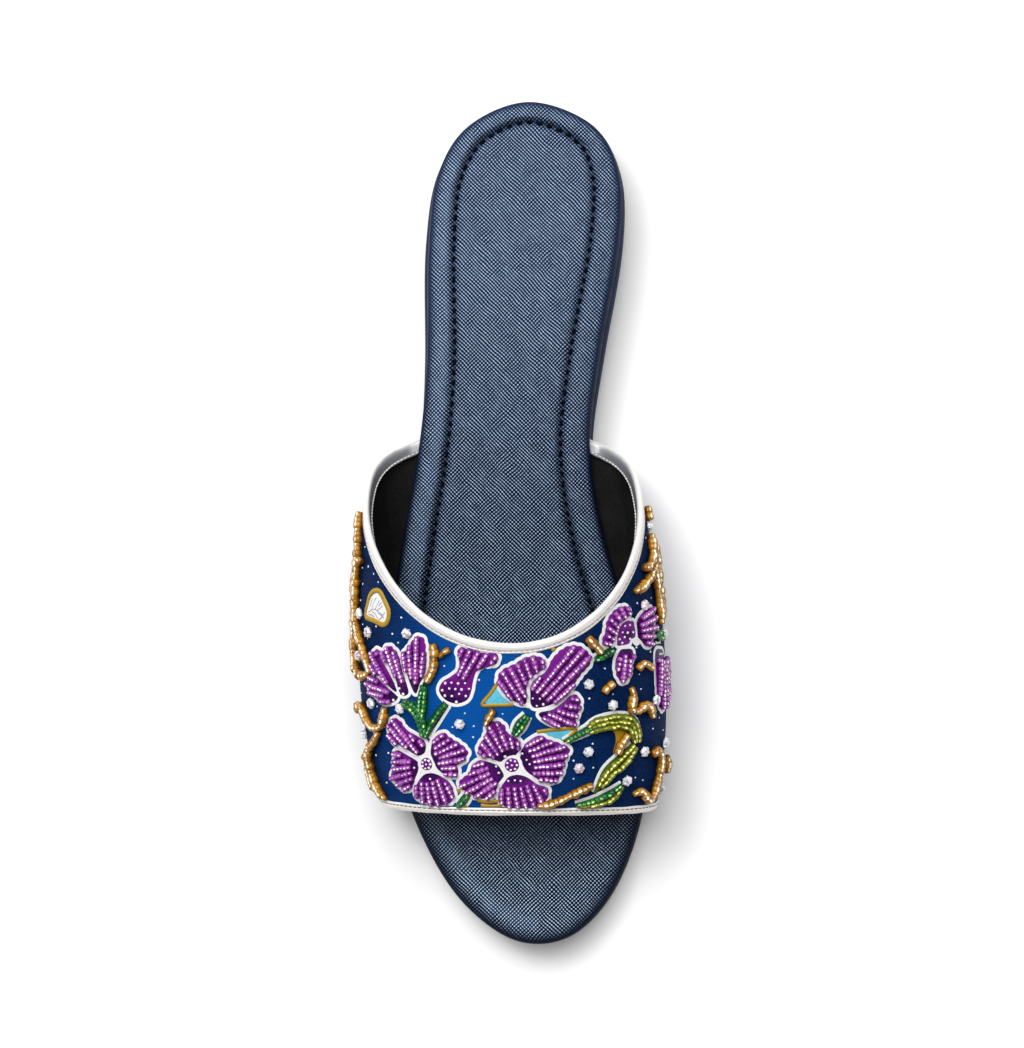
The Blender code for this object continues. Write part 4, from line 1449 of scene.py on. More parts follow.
# How much painted shade darkens the foil along that section: outside, at the outer edge of a plain fold,
# round the fold, what a shaded fold adds there, and inside
OUTER_DARK = (0.0, 0.0, 0.0, 0.05, 0.36, 0.05, 0.0)
PLAIN_EDGE_DARK = 0.22
FOLD_DARK = (0.08, 0.0, 0.0, 0.04, 0.18, 0.45, 0.70)
FOLD_SHADING = (0.2, 0.8, 1.6, 2.4, 2.8, 3.0, 3.0)
INNER_DARK = (0.95, 1.0, 0.7, 0.6, 0.6)


def binding_section(width, shade):
    """Give the folded strip's section: places off the edge and outward, and how much painted shade darkens
    each.
    """
    thick = BINDING_THICKNESS
    seam = STITCH_INSET - width
    outer = [
        (-width - SKIN_GAP, -TUCK),
        (-width, 0.5 * thick),
        (-width + TUCK, thick),
        (seam - SEAM_HALF, 1.05 * thick),
        (seam, 0.45 * thick),
        (seam + SEAM_HALF, 1.15 * thick),
        (0.45 * seam, 1.45 * thick),
        (-TUCK, 1.25 * thick),
    ]
    half = CLOTH_WALL / 2 + thick
    turns = [math.radians(turn) for turn in FOLD_TURNS]
    round_fold = [(BINDING_FOLD * math.cos(a), half * math.sin(a) - CLOTH_WALL / 2) for a in turns]
    back = -CLOTH_WALL - thick
    end = -BINDING_INNER_WIDTH
    inner = [
        (-0.0005, back - 0.2 * BINDING_SWELL),
        (0.5 * end, back - 0.7 * BINDING_SWELL),
        (end + 2 * TUCK, back - BINDING_SWELL),
        (end, back + 0.4 * thick - 0.8 * BINDING_SWELL),
        (end - SKIN_GAP, -CLOTH_WALL + TUCK),
    ]
    edge_dark = 0.0 if shade else PLAIN_EDGE_DARK
    fold_dark = np.minimum(np.array(FOLD_DARK) + shade * np.array(FOLD_SHADING), 1.0)
    return np.array(outer + round_fold + inner), np.array([*OUTER_DARK, edge_dark, *fold_dark, *INNER_DARK])


def folded_metal(name, silver, shade):
    """Silver foil sheet, painted dark as shade in its seam, round its fold and where it is turned to the
    inside.
    """
    finish = Finish(name, {"Roughness": 0.34, "Metallic": 0.15, "Coat Weight": 0.3})
    place = finish.object_place()
    grain = finish.noise(place, 1800.0, 4.0)
    foil = finish.blend(grain, toned(silver, 0.93), linear(silver))
    finish.colour(finish.blend(finish.kept("dark"), foil, linear(shade)))
    finish.relief(grain, 0.00004)
    return finish


class SLIDE_OT_bindings(Operator):
    """Silver strips folded over the throat and the front edge, each with a row of stitches"""

    bl_idname = "slide.bindings"
    bl_label = "Bindings"

    # Edges: name, line, way off the edge, where it starts round the vamp, width outside, painted shade added
    # round the fold, foil, colour of the painted shade and outer thread
    EDGES = (
        ("throat_binding", THROAT_LINE, -1, 1.0, 0.0021, 0.0, "silver", "binding_shade_grey", "thread_dull"),
        ("toe_binding", FRONT_LINE, 1, 1.12, 0.0015, 0.045, "toe_silver", "toe_fold_shade", "thread_dark_and_hole_shade"),
    )
    # Threads: finish, roughness and how much the colour varies
    THREADS = {
        "thread_pale": ("pale_binding_thread", 0.6, 0.12),
        "thread_dull": ("dull_binding_thread", 0.7, 0.25),
        "thread_dark_and_hole_shade": ("dark_binding_thread", 0.7, 0.25),
    }
    STITCH_LENGTH = 0.0011
    STITCH_WIDTH = 0.00042
    WAVER = 0.00005
    OUTER_STITCH_HEIGHT = 0.6
    INNER_STITCH_DEPTH = 0.95
    INNER_STITCH_PITCH = 0.8

    def thread(self, colours, label):
        """Make a thread's finish."""
        name, roughness, spread = self.THREADS[label]
        colour = getattr(colours, label)
        return plain_finish(
            name, colour, {"Roughness": roughness}, scale=5000.0, depth=0.00003, spread=spread)

    def execute(self, context):
        colours = context.scene.slide_colours
        pitch = context.scene.slide_sizes.binding_stitch_pitch
        threads = {label: self.thread(colours, label) for label in self.THREADS}
        inner_face = -CLOTH_WALL - BINDING_THICKNESS - self.INNER_STITCH_DEPTH * BINDING_SWELL
        for name, line, away, start, width_outside, shade, silver, inside, outer_thread in self.EDGES:
            section, dark = binding_section(width_outside, shade)
            # The inside colour is the painted shade of the seam, the fold and the inner leg
            finish = folded_metal(name + "_foil", getattr(colours, silver), getattr(colours, inside))
            place, run, off, normal = binding_frame(line, away, start)
            count = np.arange(len(place))
            waver = self.WAVER * (np.sin(count * 0.9) + np.sin(count * 0.37 + 1.0))
            offs = section[:, 0] + waver[:, None] * np.sign(section[:, 0])
            points = place[:, None] + off[:, None] * offs[..., None] + normal[:, None] * section[:, 1:]
            outward = np.broadcast_to(normal[:, None], points.shape).copy()
            outward[:, len(section) // 2:] = 0.0
            tones = np.broadcast_to(dark, points.shape[:2])
            piece = make_piece(name + "_strip", skin(points, {"dark": tones}, outward=outward), finish)
            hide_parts(name)
            outer_face = self.OUTER_STITCH_HEIGHT * BINDING_THICKNESS
            rows = (
                ("_stitches", width_outside, outer_face, 1.0, outer_thread),
                ("_inner_stitches", BINDING_INNER_WIDTH, inner_face, self.INNER_STITCH_PITCH, "thread_pale"),
            )
            for row_name, width, out, closeness, label in rows:
                path = place + off * (STITCH_INSET - width) + normal * out
                stitch, way = paced(path, closeness * pitch)
                nearest = np.argmin(np.linalg.norm(stitch[:, None] - path[None], axis=2), axis=1)
                up = normal[nearest] * np.sign(out)
                axes = stitch_axes(way, up, self.STITCH_LENGTH, self.STITCH_WIDTH, self.STITCH_WIDTH)
                repeat(name + row_name, stitch_form(), stitch, axes, threads[label])
        return {"FINISHED"}


def closed_curve(points, steps=9):
    """Give a smooth closed curve through charted points; its last point is its first."""
    points = list(points)
    table = [points[-1], *points, points[0], points[1]]
    place = 1.0 + np.arange(len(points) * steps + 1) / steps
    return through_rows(table, place)


def circle(across, station, radius):
    """Give a charted circle; its last point is its first."""
    angle = np.linspace(0, 2 * math.pi, 29)
    return np.stack([across + radius * np.cos(angle), station + radius * np.sin(angle)], -1)


def open_curve(points, steps=9):
    """Give a smooth open curve through charted points."""
    place = np.arange((len(points) - 1) * steps + 1) / steps
    return through_rows(points, place)


PETAL_GROWTH = 0.20
SCALLOP_LENGTH = 2.2
SCALLOP_DEPTH = 0.34


def petal_curve(petal):
    """Give a petal's closed outline in millimetres, a little full and scalloped away from its root."""
    curve = closed_curve(petal.outline)
    reach = np.linalg.norm(curve - np.array(petal.root), axis=1)
    far = ease((reach - reach.mean()) / (reach.max() - reach.mean()) * 2.0)
    distance = run_length(curve)
    count = max(1, round(distance[-1] / SCALLOP_LENGTH))
    bulge = np.abs(np.sin(math.pi * count * distance / distance[-1])) - 0.5
    return curve + side_ways(curve, True) * (PETAL_GROWTH + SCALLOP_DEPTH * far * bulge)[:, None]


def side_ways(curve, closed):
    """Give the ways to the outside of a closed curve, or to one side of an open one."""
    if closed:
        loop = curve[:-1]
        run = unit(np.roll(loop, -1, axis=0) - np.roll(loop, 1, axis=0))
        run = np.concatenate([run, run[:1]])
    else:
        run = unit(np.gradient(curve, axis=0))
    ways = np.stack([run[:, 1], -run[:, 0]], -1)
    after = np.roll(curve, -1, axis=0)
    area = np.sum(curve[:, 0] * after[:, 1] - after[:, 0] * curve[:, 1])
    return ways if area > 0 or not closed else -ways


def contains(curve, places):
    """Tell which charted places lie inside a closed curve."""
    start = curve[:-1]
    end = curve[1:]
    x = places[:, None, 0]
    y = places[:, None, 1]
    crosses = (start[:, 1] > y) != (end[:, 1] > y)
    rise = np.where(end[:, 1] == start[:, 1], 1e-9, end[:, 1] - start[:, 1])
    meets = x < (end[:, 0] - start[:, 0]) * (y - start[:, 1]) / rise + start[:, 0]
    return np.sum(crosses & meets, axis=1) % 2 == 1


EDGE_MARGIN = 0.0018


def settle(chart, lift):
    """Give points on the vamp for charted millimetres, kept off the bindings."""
    kept = CHART.keep_between_bindings(np.asarray(chart) * MM, EDGE_MARGIN)
    return CHART.place(kept, lift)


def settle_rows(chart, heights):
    """Settle rows of charted millimetres, each row at its own height."""
    return settle(chart, np.broadcast_to(heights[:, None], chart.shape[:2]))


PAD_SHARES = np.array((0.0, 0.35, 0.62, 0.82, 0.94, 1.0))


def swollen_pad(curve, lift, swell, root=None):
    """Make a padded patch inside a closed curve; depth runs from its root, if it has one, to its far edge."""
    centre = curve[:-1].mean(axis=0)
    chart = centre + (curve - centre) * PAD_SHARES[:, None, None]
    points, normal = settle_rows(chart, lift + swell * (1 - PAD_SHARES**4))
    if root is None:
        return skin(points, outward=normal)
    reach = np.linalg.norm(chart - np.asarray(root), axis=2)
    depth = np.clip((reach - reach.min()) / (reach.max() - reach.min() + 1e-9), 0, 1)
    return skin(points, {"depth": depth}, outward=normal)


# Section of a line: shares of its width and of its height
LINE_OFFSETS = np.array((-0.54, -0.51, 0.0, 0.51, 0.54))
LINE_HEIGHTS = np.array((-0.5, 0.85, 1.0, 0.85, -0.5))


def raised_line(curve, closed, width, height, outside):
    """Make a low flat-topped line along a charted curve, outside it or over it."""
    middle = 0.5 * width if outside else 0.0
    offsets = middle + width * LINE_OFFSETS
    chart = curve + side_ways(curve, closed) * offsets[:, None, None]
    points, normal = settle_rows(chart, height * LINE_HEIGHTS * MM)
    return skin(points, outward=normal)


def ribbon_sides(line):
    """Give a leaf's middle line, its side way and its half width from charted rows."""
    rows = open_curve(line)
    middle = rows[:, :2]
    return middle, side_ways(middle, False), rows[:, 2] / 2


def leaf_outline(line):
    """Give a leaf's closed outline from its middle line and widths."""
    middle, ways, half = ribbon_sides(line)
    left = middle + ways * half[:, None]
    right = middle - ways * half[:, None]
    return np.concatenate([left, right[::-1], left[:1]])


LEAF_SHARES = np.linspace(-1.0, 1.0, 13)


def leaf_pad(leaf, lift, swell):
    """Make a leaf's padded ground, olive under its lime beads."""
    middle, ways, half = ribbon_sides(leaf.line)
    chart = middle + ways * half[:, None] * LEAF_SHARES[:, None, None]
    points, normal = settle_rows(chart, lift + swell * (1 - LEAF_SHARES**4))
    beaded = (LEAF_SHARES > leaf.low) & (LEAF_SHARES < leaf.high) & (leaf.beads == "lime")
    depth = np.broadcast_to(beaded[:, None].astype(float), chart.shape[:2])
    return skin(points, {"depth": depth}, outward=normal)


THREAD_PITCH = 0.0003
THREAD_TURN = 0.6
THREAD_DEPTH = 0.00003
ROOT_EDGE = (0.06, 0.46)


def stitched_finish(name, dark, light):
    """Dyed embroidery ground, darker at the root, with fine thread lines."""
    finish = Finish(name, {"Roughness": 0.42, "Specular IOR Level": 0.2})
    place = finish.object_place()
    cloud = finish.math("MULTIPLY_ADD", finish.noise(place, 500.0, 3.0), 0.5, -0.25)
    share = finish.between(finish.math("ADD", finish.kept("depth"), cloud), *ROOT_EDGE)
    finish.colour(finish.blend(share, linear(dark), linear(light)))
    threads = finish.lines(place, THREAD_PITCH, THREAD_TURN, 1.0)
    finish.relief(finish.math("ADD", threads, finish.noise(place, 4000.0)), THREAD_DEPTH)
    return finish


def painted_finish(name, colour):
    """Thick matt paint or cord, a little uneven."""
    sockets = {"Roughness": 0.5, "Specular IOR Level": 0.4}
    return plain_finish(name, colour, sockets, scale=1600.0, depth=0.00005, spread=0.06)


class SLIDE_OT_patches(Operator):
    """Embroidered grounds of petals and leaves, dyed patches, and the lines drawn round them"""

    bl_idname = "slide.patches"
    bl_label = "Petals, leaves and outlines"

    GROUND_LIFT = 0.00006
    PAINT_LIFT = 0.00004
    PAINT_SWELL = 0.00006
    WHITE_LEAF_LIFT = 0.00005
    WHITE_LEAF_SWELL = 0.00016
    LEAF_LINE_PLACE = 0.4
    LEAF_LINE_WIDTH = 0.9
    # Lines on and round the white leaf and over the cloth, in millimetres and in heights of an outline
    VEIN_WIDTH = 0.22
    VEIN_HEIGHT = 0.26
    MUSTARD_WIDTH = 0.9
    MUSTARD_HEIGHTS = 1.8
    BORDER_WIDTH = 1.35
    BORDER_HEIGHTS = 2.4

    def execute(self, context):
        sizes = context.scene.slide_sizes
        colours = context.scene.slide_colours
        width = sizes.outline_width / MM
        height = sizes.outline_height / MM
        petals = [(petal_curve(petal), petal.root) for petal in PETALS]
        eyes = [(circle(*eye), eye[:2]) for eye in EYES]
        pads = [swollen_pad(curve, self.GROUND_LIFT, sizes.pad_height, root) for curve, root in petals + eyes]
        outlines = [raised_line(curve, True, width, height, True) for curve, root in petals]
        outlines += [swollen_pad(circle(*heart), self.PAINT_LIFT, 0.0) for heart in HEARTS]
        outlines += [raised_line(curve, True, width, height, True) for curve, root in eyes]
        leaves = []
        for leaf in LEAVES:
            leaves.append(leaf_pad(leaf, self.GROUND_LIFT, sizes.pad_height))
            middle, ways, half = ribbon_sides(leaf.line)
            for side in leaf.edged:
                edge = middle + side * ways * (half + self.LEAF_LINE_PLACE * width)[:, None]
                outlines.append(raised_line(edge, False, self.LEAF_LINE_WIDTH * width, height, False))
        border = closed_curve(WHITE_LEAF)
        white_leaf = swollen_pad(border, self.WHITE_LEAF_LIFT, self.WHITE_LEAF_SWELL, WHITE_LEAF[0])
        veins = [
            raised_line(open_curve(vein), False, self.VEIN_WIDTH, self.VEIN_HEIGHT, False)
            for vein in WHITE_LEAF_VEINS]
        turquoise = [
            swollen_pad(closed_curve(patch), self.PAINT_LIFT, self.PAINT_SWELL, patch[0])
            for patch in TURQUOISE_PATCHES]
        mustard = [
            raised_line(open_curve(line), False, self.MUSTARD_WIDTH, self.MUSTARD_HEIGHTS * height, False)
            for line in MUSTARD_LINES]
        mustard.append(raised_line(border, True, self.BORDER_WIDTH, self.BORDER_HEIGHTS * height, True))
        mustard.append(swollen_pad(closed_curve(MUSTARD_PATCH), self.PAINT_LIFT, self.PAINT_SWELL))
        purple_thread = stitched_finish("purple_embroidery", colours.petal_deep, colours.petal_light)
        green_thread = stitched_finish("green_embroidery", colours.leaf, colours.lime_leaf)
        white_paint = painted_finish("white_outline_paint", colours.paint)
        make_piece("petal_grounds", joined(pads), purple_thread)
        make_piece("leaf_grounds", joined(leaves), green_thread)
        make_piece("white_outlines", joined(outlines), white_paint, False)
        make_piece("turquoise_patches", joined(turquoise), painted_finish("turquoise_dye", colours.turquoise))
        make_piece("white_leaf", white_leaf, painted_finish("white_leaf_thread", colours.paint))
        make_piece("white_leaf_veins", joined(veins), painted_finish("grey_vein_thread", colours.vein))
        make_piece("mustard_lines", joined(mustard), painted_finish("mustard_line_dye", colours.mustard))
        return {"FINISHED"}


def bead_form():
    """A seed bead, one long and one across, with rounded ends."""
    profile = ((-0.50, 0.39), (-0.30, 0.475), (0.0, 0.5), (0.30, 0.475), (0.50, 0.39))
    return turned_form(profile, 8)


# The way towards the light that the beads' painted highlights lean to, so that beads on the steep sides get
# them too
LIT_FROM = np.array((-0.1, 0.1, 1.2))


class BeadBox:
    """Beads of one colour, gathered row by row and then joined."""

    BINDING_GAP = 0.0006
    SHIFT = 0.00004
    SHIFT_BY_STRAY = 0.0004
    TILT = 0.00002
    NUDGE = 0.0003
    END_BEAD = 0.84
    LENGTH_RANGE = 0.08

    def __init__(self, name, width, pitch, lift, rng, stray=0.02, vary=0.08, overlap=1.06):
        self.name = name
        self.stray = stray
        self.vary = vary
        self.overlap = overlap
        self.width = width
        self.pitch = pitch
        self.lift = lift
        self.rng = rng
        self.middles = []
        self.axes = []

    def sew(self, path):
        """Sew a row of beads along a charted path in millimetres."""
        chart, way = paced(np.asarray(path) * MM, self.pitch)
        kept = CHART.keep_between_bindings(chart, EDGE_MARGIN + self.BINDING_GAP)
        count = len(kept)
        turn = self.rng.normal(0, self.stray, count)
        way = np.stack([
            way[:, 0] * np.cos(turn) - way[:, 1] * np.sin(turn),
            way[:, 0] * np.sin(turn) + way[:, 1] * np.cos(turn)], -1)
        kept = kept + self.rng.normal(0, self.SHIFT + self.stray * self.SHIFT_BY_STRAY, (count, 2))
        lift = self.lift + self.rng.normal(0, self.SHIFT, count)
        middle, normal = CHART.place(kept, lift)
        ahead = CHART.place(kept + way * self.NUDGE, lift)[0]
        along = unit(ahead - middle + self.rng.normal(0, self.TILT, (count, 3)))
        width = self.width * self.rng.uniform(1 - self.vary, 1 + self.vary, (count, 1))
        width[[0, -1]] *= self.END_BEAD
        longest = self.overlap + self.LENGTH_RANGE
        length = self.pitch * self.rng.uniform(self.overlap, longest, (count, 1))
        self.middles.append(middle)
        toward_light = unit(normal + LIT_FROM)
        self.axes.append(stitch_axes(along, toward_light, length, width, width))

    def join(self, finish):
        """Join the gathered beads into one piece."""
        middles = np.concatenate(self.middles)
        tones = self.rng.uniform(0, 1, len(middles))
        repeat(self.name, bead_form(), middles, np.concatenate(self.axes), finish, tones)


# Glass of the beads: where the painted shade of the rim gives way to the glass and where the lining shows as
# a painted highlight, how strongly that highlight glows, how it differs from bead to bead, and the clouds
# that break it
RIM_SHADE_EDGE = (0.0, 0.66)
HIGHLIGHT_EDGE = (0.84, 0.955)
HIGHLIGHT_GLOW = 0.58
SHINE_TURNS = 7.3
SHINE_RANGE = 0.9
BREAK_CLOUDS = 900.0
BREAK_EDGE = (0.30, 0.50)


def glass_finish(name, dark, light, spark, late_spark, dull, shade):
    """Silver-lined glass beads: painted shade deep at the rim, varied from bead to bead, and the lining
    painted on top as a glowing highlight towards the light.
    """
    finish = Finish(name, {
        "Roughness": 0.22, "Specular IOR Level": 0.3, "Coat Weight": 0.25, "Coat Roughness": 0.06})
    tone = finish.kept("tone")
    crown = finish.kept("crown")
    glass = finish.blend(tone, linear(dark), linear(light))
    # Painted shade: each bead darker at its rim
    body = finish.blend(finish.between(crown, *RIM_SHADE_EDGE), toned(dark, shade), glass)
    lining = finish.blend(tone, linear(spark), linear(late_spark))
    top = finish.between(crown, *HIGHLIGHT_EDGE)
    turn = finish.math("FRACT", finish.math("MULTIPLY", tone, SHINE_TURNS))
    shine = finish.between(turn, dull, dull + SHINE_RANGE)
    broken = finish.between(finish.noise(finish.object_place(), BREAK_CLOUDS, 2.0), *BREAK_EDGE)
    shown = finish.math("MULTIPLY", finish.math("MULTIPLY", top, shine), broken)
    finish.colour(finish.blend(shown, body, lining))
    # The painted highlight glows, though the bead is no lamp
    glow = finish.math("MULTIPLY", shown, HIGHLIGHT_GLOW)
    finish.set(finish.shader, {"Emission Color": lining, "Emission Strength": glow})
    return finish


# Fan of rows over a petal: how far behind the root it starts, where the spacing is met, the rows' margin,
# step, least steps and reach, and how close every other row may come to its neighbours
FAN_BACK = 0.9
FAN_REACH = 0.79
ROW_MARGIN = 0.40
ROW_STEP = 0.1
SHORTEST_ROW = 10
ROW_REACH = 0.40
CLOSEST_ROWS = 0.75


def petal_rows(petal, spacing):
    """Give straight bead rows that fan out over a petal, clear of the dark base at its root."""
    curve = petal_curve(petal)
    inner = curve - side_ways(curve, True) * ROW_MARGIN
    root = np.array(petal.root)
    centre = curve[:-1].mean(axis=0)
    origin = root - FAN_BACK * (centre - root)
    way = curve - origin
    angle = np.unwrap(np.arctan2(way[:, 1], way[:, 0]))
    steps = np.arange(0.0, np.linalg.norm(way, axis=1).max(), ROW_STEP)
    spread = angle.max() - angle.min()
    count = max(2, round(spread * FAN_REACH * np.linalg.norm(way, axis=1).max() / spacing))
    gap = spread / count
    rows = []
    for index in range(count):
        turn = angle.min() + gap * (index + 0.5)
        heading = np.array((math.cos(turn), math.sin(turn)))
        places = origin + steps[:, None] * heading
        beaded = contains(inner, places) & (np.linalg.norm(places - root, axis=1) > petal.bare)
        if index % 2:
            beaded &= steps * gap > CLOSEST_ROWS * spacing
        ends = np.flatnonzero(beaded)
        runs = np.split(ends, np.flatnonzero(np.diff(ends) > 1) + 1)
        longest = max(runs, key=len)
        if len(longest) >= SHORTEST_ROW:
            rows.append(np.array([places[longest[0]], places[longest[-1]] + ROW_REACH * heading]))
    return rows


LEAF_ROW_SPACING = 1.75
ONE_ROW_HALF = 0.5
MORE_ROWS_HALF = 0.85


def leaf_rows(line, low, high):
    """Give bead rows along a leaf, over a part of its width."""
    middle, ways, half = ribbon_sides(line)
    cover = high - low
    count = max(1, round(cover * half.max() / LEAF_ROW_SPACING))
    wide = half > (ONE_ROW_HALF if count == 1 else MORE_ROWS_HALF)
    rows = []
    if wide.sum() > 2:
        for index in range(count):
            share = low + cover * (index + 0.5) / count
            rows.append((middle + ways * (half * share)[:, None])[wide])
    return rows


class SLIDE_OT_beads(Operator):
    """Rows of seed beads on petals and leaves, and cords of gold beads"""

    bl_idname = "slide.beads"
    bl_label = "Seed beads"

    # Glass: name, colours of dark and light beads and of their linings painted as highlights, how dull those
    # are, and painted shade of the rim
    PURPLE = ("purple_bead_glass", "petal_bead", "pale_bead", "petal_spark", "warm_spark", -0.18, 0.66)
    GREEN = ("green_bead_glass", "leaf", "green", "green_spark", "lime_spark", 0.08, 0.7)
    LIME = ("lime_bead_glass", "dark_lime", "lime", "lime_spark", "gold_spark", -0.1, 0.8)
    GOLD = ("gold_bead_glass", "dark_gold", "gold", "gold_spark", "paint", -0.3, 0.62)
    # Heights of the beads: shares of a pad's height and of a bead's width, and how far lime beads sink
    SUNK_PAD = 0.8
    RAISED_BEAD = 0.36
    RAISED_CORD = 0.44
    LIME_SUNK = 0.0003
    # Least part of a lime leaf's width, left bare on one side, that gets green beads
    BARE_SHARE = 0.3

    def execute(self, context):
        sizes = context.scene.slide_sizes
        colours = context.scene.slide_colours
        rng = np.random.default_rng(SEED)
        width = sizes.bead_width
        pitch = sizes.bead_pitch
        lift = sizes.pad_height * self.SUNK_PAD + width * self.RAISED_BEAD

        def glass(name, *rest):
            return glass_finish(name, *[getattr(colours, colour) for colour in rest[:4]], *rest[4:])

        lilac = BeadBox("petal_beads", width, pitch, lift, rng)
        for petal in PETALS:
            for row in petal_rows(petal, sizes.row_spacing / MM):
                lilac.sew(row)
        lilac.join(glass(*self.PURPLE))
        green = BeadBox("green_leaf_beads", width * 0.95, pitch * 1.1, lift, rng, stray=0.04)
        lime = BeadBox(
            "lime_leaf_beads", width * 1.02, pitch * 1.15, lift - self.LIME_SUNK, rng,
            stray=0.1, vary=0.12, overlap=1.25)
        boxes = {"green": green, "lime": lime}
        for leaf in LEAVES:
            for row in leaf_rows(leaf.line, leaf.low, leaf.high):
                boxes[leaf.beads].sew(row)
            for low, high in ((-1.0, leaf.low), (leaf.high, 1.0)):
                if leaf.beads == "lime" and high - low > self.BARE_SHARE:
                    for row in leaf_rows(leaf.line, low, high):
                        green.sew(row)
        green.join(glass(*self.GREEN))
        lime.join(glass(*self.LIME))
        cord = sizes.cord_bead_width
        gold = BeadBox(
            "gold_bead_cords", cord, sizes.cord_bead_pitch, cord * self.RAISED_CORD, rng,
            stray=0.04, vary=0.22, overlap=1.5)
        for path in GOLD_CORDS:
            gold.sew(open_curve(path))
        gold.join(glass(*self.GOLD))
        return {"FINISHED"}


def ways_over(normal):
    """Give two ways that lie on the cloth."""
    first = unit(np.cross((0.0, 1.0, 0.0), normal))
    return first, np.cross(normal, first)


class SLIDE_OT_stones(Operator):
    """Clear stones held by claws"""

    bl_idname = "slide.stones"
    bl_label = "Stones"

    LIFT = 0.0002
    # Section of a stone: shares of its width upward and outward
    FACETS = ((0.0, 0.44), (0.14, 0.52), (0.24, 0.52), (0.42, 0.38), (0.50, 0.24))
    # Facets: cells of painted reflection, their size and edges, and the dark and light colours they are
    # painted in
    FACET_CELLS = 1300.0
    FACET_EDGE = (0.10, 0.75)
    CLEAR_SHADE = (0.68, 0.70, 0.75)
    ROSY_SHADE = (0.70, 0.55, 0.61)
    ROSY_LIGHT = (0.98, 0.86, 0.90)
    ROSY_EVERY = 5
    ROSY_TONE = 0.8
    CLEAR_TONE = 0.1
    # Claws: their number, and shares of the stone's width for place and size
    CLAWS = 6
    CLAW_OUT = 0.46
    CLAW_UP = 0.26
    CLAW_LEAN = 0.45
    CLAW_SIZE = (0.42, 0.17, 0.13)

    def stone_finish(self, colours):
        """Bright stone with painted light and dark facet reflections, clear or a little rosy."""
        finish = Finish("clear_stone", {
            "Roughness": 0.06, "Metallic": 0.0, "Coat Weight": 1.0, "Coat Roughness": 0.02})
        facet = finish.between(finish.cells(finish.object_place(), self.FACET_CELLS), *self.FACET_EDGE)
        clear = finish.blend(facet, linear(self.CLEAR_SHADE), linear(colours.stone))
        rosy = finish.blend(facet, linear(self.ROSY_SHADE), linear(self.ROSY_LIGHT))
        finish.colour(finish.blend(finish.kept("tone"), clear, rosy))
        return finish

    def execute(self, context):
        colours = context.scene.slide_colours
        width = context.scene.slide_sizes.stone_width
        rng = np.random.default_rng(SEED)
        places, normal = settle(STONES, np.full(len(STONES), self.LIFT))
        spin = rng.uniform(0, 2 * math.pi, len(STONES))
        right, back = ways_over(normal)
        first = right * np.cos(spin)[:, None] + back * np.sin(spin)[:, None]
        second = np.cross(normal, first)
        axes = np.stack([normal, first, second], 1) * width
        is_rosy = np.arange(len(STONES)) % self.ROSY_EVERY == 1
        tones = np.where(is_rosy, self.ROSY_TONE, self.CLEAR_TONE)
        form = turned_form(self.FACETS, 8)
        repeat("stones", form, places, axes, self.stone_finish(colours), tones, smooth=False)
        middles = []
        claw_axes = []
        claw_size = [share * width for share in self.CLAW_SIZE]
        for claw in range(self.CLAWS):
            angle = 2 * math.pi * claw / self.CLAWS
            out = first * math.cos(angle) + second * math.sin(angle)
            way = unit(normal - self.CLAW_LEAN * out)
            middles.append(places + (out * self.CLAW_OUT + normal * self.CLAW_UP) * width)
            claw_axes.append(stitch_axes(way, out, *claw_size))
        sockets = {"Roughness": 0.25, "Metallic": 0.4}
        metal = plain_finish("claw_metal", colours.silver, sockets, scale=3000.0, depth=0.00002, spread=0.08)
        repeat("stone_claws", stitch_form(), np.concatenate(middles), np.concatenate(claw_axes), metal)
        return {"FINISHED"}


HEXAGON_ROW = 0.87


def hexagon_places(low, high, pitch):
    """Give a staggered field of charted places."""
    places = []
    for row, station in enumerate(np.arange(low[1], high[1], pitch * HEXAGON_ROW)):
        for across in np.arange(low[0] + (row % 2) * pitch / 2, high[0], pitch):
            places.append((across, station))
    return np.array(places)


# Dots on dark bases, in millimetres, and the ring of dots on an eye
BASE_DOT_PITCH = 2.0
BASE_DOT_STRAY = 0.18
BASE_DOT_MARGIN = 0.5
EYE_DOTS = 7
EYE_RING = 0.68


def dots_on_bases(rng):
    """Give the painted dots on the petals' dark bases and on the eyes."""
    found = []
    for petal in PETALS:
        curve = petal_curve(petal)
        inner = curve - side_ways(curve, True) * BASE_DOT_MARGIN
        field = hexagon_places(curve.min(axis=0), curve.max(axis=0), BASE_DOT_PITCH)
        field = field + rng.normal(0, BASE_DOT_STRAY, field.shape)
        near = np.linalg.norm(field - np.array(petal.root), axis=1) < petal.bare - BASE_DOT_MARGIN
        found.append(field[near & contains(inner, field)])
    angle = np.arange(EYE_DOTS) * 2 * math.pi / EYE_DOTS
    for across, station, radius in EYES:
        reach = EYE_RING * radius
        ring = np.stack([across + reach * np.cos(angle), station + reach * np.sin(angle)], -1)
        found.append(np.concatenate([ring, [(across, station)]]))
    return np.concatenate(found)


# Room that dots on the ground leave, in millimetres: to the throat, the front, stones and lines, patches, and
# each other
THROAT_ROOM = 4.4
FRONT_ROOM = 3.4
LINE_ROOM = 2.2
PATCH_ROOM = 1.5
DOT_ROOM = 3.0
TRIES_PER_DOT = 40


